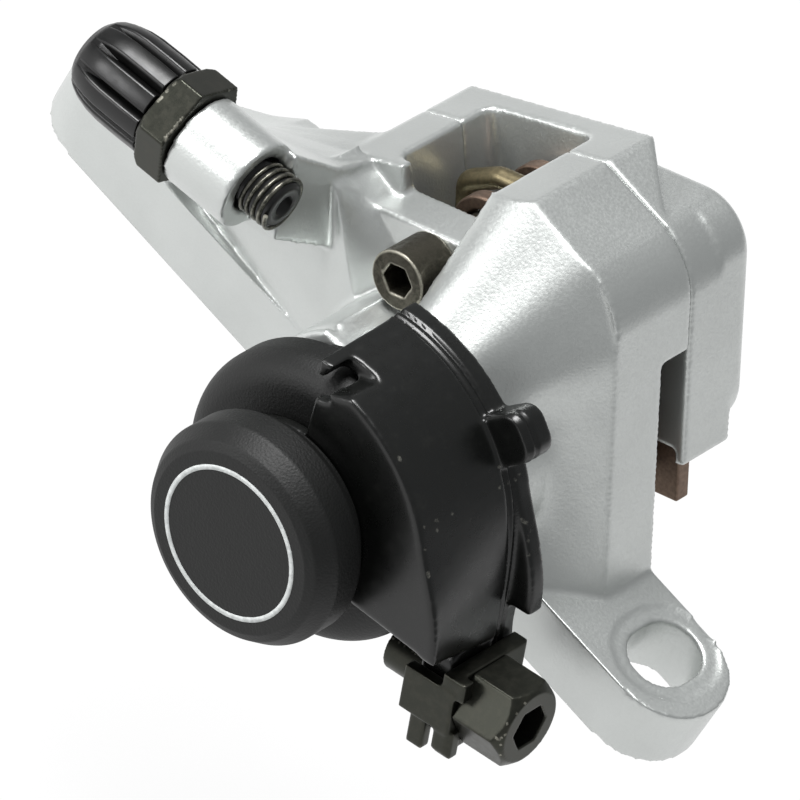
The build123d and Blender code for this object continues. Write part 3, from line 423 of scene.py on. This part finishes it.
def dull_zinc(hex_colour):
    """Zinc plated steel after winters on the road: grey, with brown grime in patches."""
    material, tree, place = start_material("zinc_plated_steel_grimy")
    grit = add_node(
        tree, "ShaderNodeTexNoise",
        inputs={"Vector": place, "Scale": per_metre(0.7), "Detail": 8.0, "Roughness": 0.7},
    ).outputs["Fac"]
    edge = add_node(tree, "ShaderNodeNewGeometry").outputs["Pointiness"]
    clean = add_node(
        tree, "ShaderNodeMapRange", inputs={"Value": grit, "From Min": 0.42, "From Max": 0.58}
    ).outputs["Result"]
    dirty = add_node(
        tree, "ShaderNodeMix", {"data_type": "RGBA"},
        {0: clean, 6: linear("#3A3830"), 7: linear(hex_colour)},
    ).outputs[2]
    sharp = add_node(
        tree, "ShaderNodeMapRange", inputs={"Value": edge, "From Min": 0.51, "From Max": 0.57}
    ).outputs["Result"]
    colour = add_node(
        tree, "ShaderNodeMix", {"data_type": "RGBA"}, {0: sharp, 6: dirty, 7: linear("#D8D4C4")}
    ).outputs[2]
    gloss = add_node(
        tree, "ShaderNodeMapRange",
        inputs={"Value": grit, "From Min": 0.4, "From Max": 0.6, "To Min": 0.6, "To Max": 0.32},
    ).outputs["Result"]
    bump = add_node(
        tree, "ShaderNodeBump", inputs={"Height": grit, "Strength": 0.5, "Distance": 0.1 * mm}
    ).outputs["Normal"]
    shader = add_node(
        tree, "ShaderNodeBsdfPrincipled",
        inputs={"Base Color": colour, "Metallic": 0.8, "Roughness": gloss, "Normal": bump},
    )
    close_material(tree, shader.outputs["BSDF"])
    return material


def brushed_metal(name, hex_colour, roughness):
    """Bare metal with the fine marks of its last machining."""
    material, tree, place = start_material(name)
    line = add_node(
        tree, "ShaderNodeTexNoise", inputs={"Vector": place, "Scale": per_metre(0.4), "Detail": 5.0}
    ).outputs["Fac"]
    patch = add_node(
        tree, "ShaderNodeMapRange", inputs={"Value": line, "From Min": 0.35, "From Max": 0.65}
    ).outputs["Result"]
    metal = linear(hex_colour)
    colour = add_node(
        tree, "ShaderNodeMix", {"data_type": "RGBA"}, {0: patch, 6: shaded(metal, 0.75), 7: metal}
    ).outputs[2]
    bump = add_node(
        tree, "ShaderNodeBump", inputs={"Height": line, "Strength": 0.15, "Distance": 0.05 * mm}
    ).outputs["Normal"]
    shader = add_node(
        tree, "ShaderNodeBsdfPrincipled",
        inputs={"Base Color": colour, "Metallic": 1.0, "Roughness": roughness, "Normal": bump},
    )
    close_material(tree, shader.outputs["BSDF"])
    return material


def pressed_lining():
    """Brake lining: pressed compound, brown, with flecks of copper."""
    material, tree, place = start_material("friction_compound_pressed")
    distance = add_node(
        tree, "ShaderNodeTexVoronoi", inputs={"Vector": place, "Scale": per_metre(0.5)}
    ).outputs["Distance"]
    fleck = add_node(
        tree, "ShaderNodeMapRange",
        inputs={"Value": distance, "From Min": 0.1, "From Max": 0.3, "To Min": 1, "To Max": 0},
    ).outputs["Result"]
    colour = add_node(
        tree, "ShaderNodeMix", {"data_type": "RGBA"}, {0: fleck, 6: linear("#4A3A2E"), 7: linear("#9A6A45")}
    ).outputs[2]
    bump = add_node(
        tree, "ShaderNodeBump", inputs={"Height": distance, "Strength": 0.6, "Distance": 0.1 * mm}
    ).outputs["Normal"]
    shader = add_node(
        tree, "ShaderNodeBsdfPrincipled",
        inputs={"Base Color": colour, "Roughness": 0.85, "IOR": 1.5, "Normal": bump},
    )
    close_material(tree, shader.outputs["BSDF"])
    return material


def moulded_rubber():
    """Nitrile ring: black, soft sheen."""
    material, tree, place = start_material("nitrile_rubber_moulded")
    skin = add_node(
        tree, "ShaderNodeTexNoise", inputs={"Vector": place, "Scale": per_metre(0.3), "Detail": 2.0}
    ).outputs["Fac"]
    bump = add_node(
        tree, "ShaderNodeBump", inputs={"Height": skin, "Strength": 0.2, "Distance": 0.03 * mm}
    ).outputs["Normal"]
    shader = add_node(
        tree, "ShaderNodeBsdfPrincipled",
        inputs={"Base Color": linear("#1A1A1A"), "Roughness": 0.6, "IOR": 1.52, "Normal": bump},
    )
    close_material(tree, shader.outputs["BSDF"])
    return material


def printed_ink():
    """Pale ink printed on the cap: flat, slightly uneven."""
    material, tree, place = start_material("pale_ink_pad_printed")
    cloud = add_node(
        tree, "ShaderNodeTexNoise", inputs={"Vector": place, "Scale": per_metre(0.5), "Detail": 3.0}
    ).outputs["Fac"]
    patch = add_node(
        tree, "ShaderNodeMapRange", inputs={"Value": cloud, "From Min": 0.35, "From Max": 0.65}
    ).outputs["Result"]
    colour = add_node(
        tree, "ShaderNodeMix", {"data_type": "RGBA"}, {0: patch, 6: linear("#B9BCBB"), 7: linear("#D3D6D5")}
    ).outputs[2]
    shader = add_node(
        tree, "ShaderNodeBsdfPrincipled", inputs={"Base Color": colour, "Roughness": 0.55, "IOR": 1.5}
    )
    close_material(tree, shader.outputs["BSDF"])
    return material


made_materials = {}


def finish(slot):
    """The material of a slot, made once."""
    scene = bpy.context.scene
    black, steel = scene.caliper_black, scene.caliper_steel
    if slot not in made_materials:
        makers = {
            "silver_paint": lambda: silver_paint(scene.caliper_silver.paint),
            "black_paint": lambda: black_paint(black.paint),
            "grained_plastic": lambda: grained_plastic(black.grained),
            "knob_plastic": lambda: moulded_plastic(black.moulded),
            "black_oxide": lambda: blackened_steel(steel.oxide),
            "dark_steel": lambda: dull_zinc(steel.zinc),
            "bare_steel": lambda: brushed_metal("steel_turned", "#B5B4AE", 0.32),
            "spring_steel": lambda: brushed_metal("spring_steel_drawn", "#7D7C78", 0.38),
            "bronze": lambda: brushed_metal("phosphor_bronze_rolled", steel.bronze, 0.42),
            "pad_steel": lambda: brushed_metal("steel_copper_washed", "#8A7668", 0.5),
            "lining": pressed_lining,
            "rubber": moulded_rubber,
        }
        made_materials[slot] = makers[slot]()
    return made_materials[slot]


# Meshes


def object_of(name, mesh):
    """A new object in the scene that holds a mesh."""
    made = bpy.data.objects.new(name, mesh)
    bpy.context.scene.collection.objects.link(made)
    return made


def settled(piece):
    """The piece with its modifiers turned into plain mesh."""
    graph = bpy.context.evaluated_depsgraph_get()
    mesh = bpy.data.meshes.new_from_object(piece.evaluated_get(graph))
    piece.modifiers.clear()
    piece.data = mesh
    return piece


def seat(piece, node, material=None):
    """Puts a finished piece on the body and the slot of the node that it stands for."""
    piece.data.materials.clear()
    piece.data.materials.append(material or finish(slot_of_node[node]))
    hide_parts(node)
    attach(piece, body_of_node[node])


def welded(node):
    """A copy of a node's mesh with its loose triangles joined into clean faces."""
    mesh = bmesh.new()
    mesh.from_mesh(frame["nodes"][node].data)
    bmesh.ops.remove_doubles(mesh, verts=mesh.verts, dist=weld_gap)
    return mesh


def smooth(piece):
    """Shades a piece's faces as one smooth skin."""
    for face in piece.data.polygons:
        face.use_smooth = True
    return piece


def edged(piece, width, steps, angle):
    """Rounds a piece's edges that turn by more than an angle, and shades its faces evenly."""
    bevel = piece.modifiers.new("Edges", "BEVEL")
    bevel.width = width
    bevel.segments = steps
    bevel.limit_method = "ANGLE"
    bevel.angle_limit = angle
    smooth(settled(piece))
    weights = piece.modifiers.new("Normals", "WEIGHTED_NORMAL")
    weights.keep_sharp = True
    return settled(piece)


def as_object(name, mesh):
    """The object made of a bmesh, which is freed."""
    data = bpy.data.meshes.new(name)
    mesh.to_mesh(data)
    mesh.free()
    return object_of(name, data)


def forged(name, node, voxel, passes):
    """A node's shape with the soft edges of a forging or a painted pressing."""
    return soften(as_object(name, welded(node)), voxel, passes)


def soften(piece, voxel, passes):
    """Joins a piece's blocks on a fine grid and rounds their edges."""
    remesh = piece.modifiers.new("Grid", "REMESH")
    remesh.mode = "VOXEL"
    remesh.voxel_size = voxel
    soft = piece.modifiers.new("Soften", "SMOOTH")
    soft.factor = 0.5
    soft.iterations = passes
    return smooth(settled(piece))


def pressed(name, node, edge):
    """A node's shape with small rounded edges, smooth across its curved faces."""
    mesh = welded(node)
    flat = radians(0.5)
    bmesh.ops.dissolve_limit(mesh, angle_limit=flat, verts=mesh.verts, edges=mesh.edges)
    return edged(as_object(name, mesh), width=edge, steps=3, angle=radians(32))


def rounded_profile(corners):
    """Points of a line whose corners, each (along, radius, fillet), are turned to arcs."""
    steps = 6
    points = []
    for count, (along, radius, fillet) in enumerate(corners):
        here = Vector((along, radius))
        if count in (0, len(corners) - 1) or fillet == 0:
            points.append(here)
            continue
        before = (Vector(corners[count - 1][:2]) - here).normalized()
        after = (Vector(corners[count + 1][:2]) - here).normalized()
        half = before.angle(after) / 2
        middle = here + (before + after).normalized() * (fillet / sin(half))
        tangent = fillet / tan(half)
        start = here + before * tangent - middle
        end = here + after * tangent - middle
        for step in range(steps + 1):
            points.append(middle + start.slerp(end, step / steps) * fillet)
    return points


def turned(name, corners, centre, out, segments=160):
    """A closed solid of revolution about a line, from a rounded profile in millimetres."""
    points = [point * mm for point in rounded_profile(corners)]
    across = out.cross(Vector((1, 0, 0)) if abs(out.x) < 0.9 else Vector((0, 1, 0))).normalized()
    beside = out.cross(across)
    mesh = bmesh.new()
    rings = []
    for point in points:
        ring = []
        for count in range(segments):
            turn = 2 * pi * count / segments
            spoke = across * cos(turn) + beside * sin(turn)
            ring.append(mesh.verts.new(centre + out * point.x + spoke * point.y))
        rings.append(ring)
    for low, high in zip(rings, rings[1:] + rings[:1]):
        for count in range(segments):
            after = (count + 1) % segments
            mesh.faces.new((low[count], low[after], high[after], high[count]))
    bmesh.ops.remove_doubles(mesh, verts=mesh.verts, dist=weld_gap)
    bmesh.ops.recalc_face_normals(mesh, faces=mesh.faces)
    return smooth(as_object(name, mesh))


def stand(piece, centre, out):
    """Stands a piece made about Z on a line of the construction model, by its mesh."""
    across = Vector((1, 0, 0))
    turn = Matrix((across, out.cross(across), out)).transposed().to_4x4()
    piece.data.transform(Matrix.Translation(centre) @ turn)


def grown(piece, tree, sizes):
    """Runs a Geometry Nodes tree on a piece and keeps the plain mesh."""
    modifier = piece.modifiers.new(tree.name, "NODES")
    modifier.node_group = tree
    for socket in tree.interface.items_tree:
        if socket.item_type == "SOCKET" and socket.in_out == "INPUT" and socket.name in sizes:
            modifier[socket.identifier] = sizes[socket.name]
    return settled(piece)


def start_tree(name, inputs):
    """A Geometry Nodes tree with named inputs; gives the tree and its input sockets."""
    tree = bpy.data.node_groups.new(name, "GeometryNodeTree")
    tree.interface.new_socket("Geometry", in_out="INPUT", socket_type="NodeSocketGeometry")
    for label, kind in inputs:
        tree.interface.new_socket(label, in_out="INPUT", socket_type=kind)
    tree.interface.new_socket("Geometry", in_out="OUTPUT", socket_type="NodeSocketGeometry")
    return tree, add_node(tree, "NodeGroupInput").outputs


def close_tree(tree, shape, material):
    """Ends a tree with real geometry and its material."""
    real = add_node(tree, "GeometryNodeRealizeInstances", inputs={"Geometry": shape}).outputs["Geometry"]
    dressed = add_node(
        tree, "GeometryNodeSetMaterial", inputs={"Geometry": real, "Material": material}
    ).outputs["Geometry"]
    add_node(tree, "NodeGroupOutput", inputs={"Geometry": dressed})
    return tree


def ring_tree():
    """Repeats a rib evenly round Z."""
    tree, given = start_tree(
        "ribs_round_axis", (("Count", "NodeSocketInt"), ("Finish", "NodeSocketMaterial"))
    )
    spots = add_node(tree, "GeometryNodePoints", inputs={"Count": given["Count"]}).outputs["Points"]
    index = add_node(tree, "GeometryNodeInputIndex").outputs["Index"]
    share = add_node(
        tree, "ShaderNodeMath", {"operation": "DIVIDE"}, {0: index, 1: given["Count"]}
    ).outputs["Value"]
    angle = add_node(
        tree, "ShaderNodeMath", {"operation": "MULTIPLY"}, {0: share, 1: 2 * pi}
    ).outputs["Value"]
    turn = add_node(tree, "ShaderNodeCombineXYZ", inputs={"Z": angle}).outputs["Vector"]
    copies = add_node(
        tree, "GeometryNodeInstanceOnPoints",
        inputs={"Points": spots, "Instance": given["Geometry"], "Rotation": turn},
    ).outputs["Instances"]
    return close_tree(tree, copies, given["Finish"])


def thread_tree():
    """Winds a thread's crest round Z."""
    names = ("Turns", "Length", "Radius", "Crest")
    sizes = [(name, "NodeSocketFloat") for name in names]
    tree, given = start_tree("thread_round_axis", sizes + [("Finish", "NodeSocketMaterial")])
    helix = add_node(
        tree, "GeometryNodeCurveSpiral",
        inputs={"Resolution": 48, "Rotations": given["Turns"], "Start Radius": given["Radius"],
                "End Radius": given["Radius"], "Height": given["Length"]},
    ).outputs["Curve"]
    crest = add_node(
        tree, "GeometryNodeCurvePrimitiveCircle", {"mode": "RADIUS"},
        {"Resolution": 6, "Radius": given["Crest"]},
    ).outputs["Curve"]
    wound = add_node(
        tree, "GeometryNodeCurveToMesh", inputs={"Curve": helix, "Profile Curve": crest, "Fill Caps": True}
    ).outputs["Mesh"]
    return close_tree(tree, wound, given["Finish"])


def extent(node, centre, out):
    """Where a node starts and ends along a line, in millimetres from its centre."""
    reach = [(vert.co - centre).dot(out) / mm for vert in frame["nodes"][node].data.vertices]
    return min(reach), max(reach)


# Pieces


class CALIPER_OT_silver_halves(bpy.types.Operator):
    """Forged and painted halves of the caliper"""

    bl_idname = "caliper.silver_halves"
    bl_label = "Silver halves"

    def execute(self, context):
        silver = context.scene.caliper_silver
        seat(forged("outboard_forging", "outboard_body", silver.voxel, silver.rounding), "outboard_body")
        seat(forged("inboard_forging", "inboard_body", silver.voxel, silver.rounding), "inboard_body")
        return {"FINISHED"}


class CALIPER_OT_arm(bpy.types.Operator):
    """Pressed steel arm, with two grooves rolled beside its flange"""

    bl_idname = "caliper.arm"
    bl_label = "Arm"

    def execute(self, context):
        black = context.scene.caliper_black
        arm = forged("pressed_arm", "actuating_arm", black.voxel, black.rounding)
        inner_face = extent("actuating_arm", hub_centre, Vector((1, 0, 0)))[0]
        # The grooves' places from the inner face, their half width, and the shell's inside radius, in mm
        groove_places = (2.3, 3.1)
        groove_width = 0.2
        shell_radius = 15.0
        for vert in arm.data.vertices:
            away = (vert.co - hub_centre) / mm
            radius = hypot(away.y, away.z)
            if radius > shell_radius:
                along = away.x - inner_face
                dip = sum(exp(-(((along - place) / groove_width) ** 2)) for place in groove_places)
                vert.co.y -= away.y / radius * dip * black.groove
                vert.co.z -= away.z / radius * dip * black.groove
        seat(arm, "actuating_arm")
        return {"FINISHED"}


class CALIPER_OT_steel(bpy.types.Operator):
    """Nut, bolt, axle, pad plates and drum"""

    bl_idname = "caliper.steel"
    bl_label = "Steel pieces"

    def execute(self, context):
        steel = context.scene.caliper_steel
        for name, node in (
            ("lock_nut_rounded", "lock_nut"),
            ("clamp_bolt_rounded", "clamp_bolt"),
            ("pad_axle_rounded", "pad_axle"),
        ):
            seat(forged(name, node, steel.voxel, steel.rounding), node)
        for name, node in (
            ("outboard_plate_rounded", "outboard_pad_plate"),
            ("inboard_plate_rounded", "inboard_pad_plate"),
            ("drum_rounded", "dust_cover"),
        ):
            seat(pressed(name, node, steel.edge), node)
        return {"FINISHED"}


class CALIPER_OT_cap(bpy.types.Operator):
    """Grained cap with its printed ring"""

    bl_idname = "caliper.cap"
    bl_label = "Cap"

    def execute(self, context):
        out = Vector((1, 0, 0))
        face = extent("hub_cap", hub_centre, out)[1]
        roof, depth = 1.6, 7.5
        hollow_radius, neck_radius, rim_radius, face_radius = 8.0, 9.6, 11.1, 9.1
        # Corners of the cap's half section: place from its face, radius and fillet
        corners = (
            (-roof, 0, 0), (-roof, hollow_radius, 0), (-depth, hollow_radius, 0),
            (-depth, neck_radius, 0.2), (-6.3, neck_radius, 0.2), (-6.2, 10.6, 0.3),
            (-5.4, rim_radius, 0.5), (-2.3, rim_radius, 0.9), (-0.5, 10.0, 0.8), (0, face_radius, 0.4),
            (0, 0, 0),
        )
        profile = [(face + along, radius, fillet) for along, radius, fillet in corners]
        seat(turned("cap_turned", profile, hub_centre, out), "hub_cap")
        ring_inner, ring_outer, ring_root, ring_top = 7.3, 7.8, face - 0.1, face + 0.04
        line = (
            (ring_root, ring_inner, 0), (ring_top, ring_inner, 0), (ring_top, ring_outer, 0),
            (ring_root, ring_outer, 0),
        )
        ring = turned("cap_ring", line, hub_centre, out)
        ring.data.materials.append(printed_ink())
        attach(ring, body_of_node["hub_cap"])
        return {"FINISHED"}


class CALIPER_OT_knob(bpy.types.Operator):
    """Ribbed knob on its threaded stem"""

    bl_idname = "caliper.knob"
    bl_label = "Knob"

    def execute(self, context):
        black = context.scene.caliper_black
        tail, end = extent("barrel_adjuster", barrel_centre, barrel_out)
        bore, stem, stem_tip, stem_taper = 1.1, 2.45, 2.2, 0.4
        knob_length, socket, socket_depth = 9.8, 2.55, 6.0
        start = end - knob_length
        # Corners of the half section, from the stem's tail to the casing's socket
        corners = (
            (tail, bore, 0), (tail, stem_tip, 0), (tail + stem_taper, stem, 0), (start, stem, 0),
            (start, 3.6, 0.2), (start + 5.2, 3.7, 2.0), (start + 8.0, 4.15, 1.0), (start + 9.0, 3.9, 0.6),
            (end, 3.1, 0.5), (end, socket, 0), (end - socket_depth, socket, 0),
            (end - socket_depth, bore, 0),
        )
        core = turned("knob_core", corners, barrel_centre, barrel_out)
        seat(core, "barrel_adjuster")
        # One rib: places across it and above its top line, then places along the knob and the top's radius
        section = ((-1.25, -1.9), (-1.06, -0.3), (-0.95, -0.1), (-0.75, 0.0), (0.0, 0.07))
        section += tuple((-across, up) for across, up in section[-2::-1])
        tops = (
            (0.0, 4.7), (0.15, 4.83), (2.5, 4.87), (5.2, 4.83), (6.6, 4.68), (7.8, 4.38), (8.8, 3.95),
            (9.3, 3.6),
        )
        mesh = bmesh.new()
        rings = [
            [mesh.verts.new(Vector((top + up, across, along + start)) * mm) for across, up in section]
            for along, top in tops
        ]
        for low, high in zip(rings, rings[1:]):
            for count in range(len(section)):
                after = (count + 1) % len(section)
                mesh.faces.new((low[count], low[after], high[after], high[count]))
        mesh.faces.new(rings[0])
        mesh.faces.new(rings[-1])
        bmesh.ops.recalc_face_normals(mesh, faces=mesh.faces)
        ribs = edged(as_object("knob_ribs", mesh), width=0.1 * mm, steps=2, angle=radians(50))
        grown(ribs, ring_tree(), {"Count": black.ribs, "Finish": finish(slot_of_node["barrel_adjuster"])})
        stand(ribs, barrel_centre, barrel_out)
        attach(ribs, body_of_node["barrel_adjuster"])
        thread = as_object("stem_thread", bmesh.new())
        sizes = {
            "Turns": 4.2, "Length": 3.2 * mm, "Radius": 2.6 * mm, "Crest": 0.24 * mm,
            "Finish": finish("black_oxide"),
        }
        grown(thread, thread_tree(), sizes)
        stand(thread, barrel_centre + barrel_out * tail * mm, barrel_out)
        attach(thread, body_of_node["barrel_adjuster"])
        return {"FINISHED"}


class CALIPER_OT_clamp(bpy.types.Operator):
    """Folded clamp plate with two prongs"""

    bl_idname = "caliper.clamp"
    bl_label = "Clamp plate"

    def execute(self, context):
        top = extent("clamp_plate", clamp_centre, clamp_out)[1]
        # Plate, fold, prongs and lip, each by its low and high corner on the bolt's line
        blocks = (
            ((-5.6, -4.1, -1.7), (4.7, 4.6, 0.0)),
            ((3.45, -2.6, -6.0), (4.8, 2.3, 0.0)),
            ((3.1, 2.0, -4.8), (4.4, 5.8, -2.9)),
            ((3.1, 2.0, -1.5), (4.4, 5.0, 0.4)),
            ((3.4, -4.1, -0.4), (4.7, -2.0, 1.0)),
        )
        mesh = bmesh.new()
        for low, high in blocks:
            for vert in bmesh.ops.create_cube(mesh, size=1)["verts"]:
                vert.co = Vector((a if side < 0 else b) * mm for a, b, side in zip(low, high, vert.co))
        for vert in mesh.verts:
            vert.co.z += top * mm
        plate = as_object("clamp_plate_folded", mesh)
        soften(plate, voxel=0.17 * mm, passes=5)
        stand(plate, clamp_centre, clamp_out)
        bore_radius, below, above = 2.6, top - 8, top + 3
        line = ((below, 0, 0), (below, bore_radius, 0), (above, bore_radius, 0), (above, 0, 0))
        bore = turned("clamp_bore", line, clamp_centre, clamp_out, segments=48)
        cut = plate.modifiers.new("Bore", "BOOLEAN")
        cut.operation = "DIFFERENCE"
        cut.object = bore
        settled(plate)
        bpy.data.objects.remove(bore)
        seat(plate, "clamp_plate")
        return {"FINISHED"}


class CALIPER_OT_inner(bpy.types.Operator):
    """Finishes for the pieces whose construction shape already shows"""

    bl_idname = "caliper.inner"
    bl_label = "Inner pieces"

    def execute(self, context):
        for node, held in frame["nodes"].items():
            held.data.materials.clear()
            held.data.materials.append(finish(slot_of_node[node]))
        return {"FINISHED"}


class CALIPER_OT_stage(bpy.types.Operator):
    """Floor, lamps, world and camera"""

    bl_idname = "caliper.stage"
    bl_label = "Stage"

    def execute(self, context):
        scene = context.scene
        stage = scene.caliper_stage
        scene.view_settings.view_transform = "Standard"
        self.floor(stage)
        self.world(scene)
        self.lamps()
        self.camera(scene, stage)
        return {"FINISHED"}

    def floor(self, stage):
        """A white sheet, which shines a little where the camera sees it and only lights as paper does."""
        half_width = 3
        mesh = bmesh.new()
        bmesh.ops.create_grid(mesh, x_segments=1, y_segments=1, size=half_width)
        bmesh.ops.translate(mesh, vec=(0, 0, cad_box[0][2] - stage.floor_drop), verts=mesh.verts)
        floor = as_object("floor", mesh)
        material = bpy.data.materials.new("paper_white_matt")
        material.use_nodes = True
        tree = material.node_tree
        tree.nodes.clear()
        rays = add_node(tree, "ShaderNodeLightPath").outputs
        seen = add_node(
            tree, "ShaderNodeMath", {"operation": "MAXIMUM"},
            {0: rays["Is Camera Ray"], 1: rays["Is Glossy Ray"]},
        ).outputs["Value"]
        seen = add_node(
            tree, "ShaderNodeMath", {"operation": "MAXIMUM"}, {0: seen, 1: rays["Is Transmission Ray"]}
        ).outputs["Value"]
        paper = add_node(tree, "ShaderNodeBsdfDiffuse", inputs={"Color": linear("#F4F4F4")})
        glow = add_node(tree, "ShaderNodeEmission", inputs={"Color": (1, 1, 1, 1), "Strength": 1.0})
        lit = add_node(
            tree, "ShaderNodeMixShader",
            inputs={0: 0.9, 1: paper.outputs["BSDF"], 2: glow.outputs["Emission"]},
        )
        mix = add_node(
            tree, "ShaderNodeMixShader",
            inputs={0: seen, 1: paper.outputs["BSDF"], 2: lit.outputs["Shader"]},
        )
        add_node(tree, "ShaderNodeOutputMaterial", inputs={"Surface": mix.outputs["Shader"]})
        floor.data.materials.append(material)

    def world(self, scene):
        """A dim grey room round the object, white behind it."""
        world = bpy.data.worlds.new("studio")
        scene.world = world
        world.use_nodes = True
        tree = world.node_tree
        tree.nodes.clear()
        rays = add_node(tree, "ShaderNodeLightPath").outputs
        room = add_node(tree, "ShaderNodeBackground", inputs={"Color": linear("#DCDEDF"), "Strength": 0.42})
        paper = add_node(tree, "ShaderNodeBackground", inputs={"Color": (1, 1, 1, 1), "Strength": 1.0})
        mix = add_node(
            tree, "ShaderNodeMixShader",
            inputs={
                0: rays["Is Camera Ray"], 1: room.outputs["Background"], 2: paper.outputs["Background"]
            },
        )
        add_node(tree, "ShaderNodeOutputWorld", inputs={"Surface": mix.outputs["Shader"]})

    def lamps(self):
        """Two round soft boxes that face the object; place and size in metres, power in watts."""
        for name, place, size, power in (
            ("soft_box_above", (0.1, -0.45, 0.85), 0.45, 12.0),
            ("soft_box_left", (0.75, -0.6, 0.25), 0.4, 3.4),
        ):
            lamp = bpy.data.lights.new(name, "AREA")
            lamp.shape = "DISK"
            lamp.size = size
            lamp.energy = power
            held = bpy.data.objects.new(name, lamp)
            bpy.context.scene.collection.objects.link(held)
            held.location = place
            held.rotation_euler = Vector(place).to_track_quat("Z", "Y").to_euler()

    def camera(self, scene, stage):
        """The photograph's camera: far away, with a long lens."""
        data = bpy.data.cameras.new("camera")
        data.lens = stage.lens
        data.sensor_width = 36
        data.clip_start = 10 * mm
        camera = bpy.data.objects.new("camera", data)
        scene.collection.objects.link(camera)
        back = Vector(
            (
                cos(stage.elevation) * cos(stage.azimuth),
                cos(stage.elevation) * sin(stage.azimuth),
                sin(stage.elevation),
            )
        )
        level = Vector((0, 0, 1)).cross(back).normalized()
        upright = back.cross(level)
        right = level * cos(stage.roll) + upright * sin(stage.roll)
        up = back.cross(right)
        turn = Matrix((right, up, back)).transposed().to_4x4()
        camera.matrix_world = Matrix.Translation(Vector(stage.aim) + back * stage.distance) @ turn
        scene.camera = camera


class CALIPER_PT_panel(bpy.types.Panel):
    """Lists the caliper's pieces"""

    bl_label = "Caliper"
    bl_space_type = "VIEW_3D"
    bl_region_type = "UI"
    bl_category = "Caliper"

    def draw(self, context):
        for operator in operators:
            self.layout.operator(operator.bl_idname)


operators = (
    CALIPER_OT_inner,
    CALIPER_OT_silver_halves,
    CALIPER_OT_arm,
    CALIPER_OT_steel,
    CALIPER_OT_cap,
    CALIPER_OT_knob,
    CALIPER_OT_clamp,
    CALIPER_OT_stage,
)
settings = {
    "caliper_silver": SilverSettings,
    "caliper_black": BlackSettings,
    "caliper_steel": SteelSettings,
    "caliper_stage": StageSettings,
}
classes = (*settings.values(), *operators, CALIPER_PT_panel)


def register():
    for item in classes:
        bpy.utils.register_class(item)
    for name, group in settings.items():
        setattr(bpy.types.Scene, name, bpy.props.PointerProperty(type=group))


def unregister():
    for name in settings:
        delattr(bpy.types.Scene, name)
    for item in reversed(classes):
        bpy.utils.unregister_class(item)


def main():
    register()
    bpy.ops.caliper.inner()
    bpy.ops.caliper.silver_halves()
    bpy.ops.caliper.arm()
    bpy.ops.caliper.steel()
    bpy.ops.caliper.cap()
    bpy.ops.caliper.knob()
    bpy.ops.caliper.clamp()
    bpy.ops.caliper.stage()


if __name__ == "__main__":
    main()
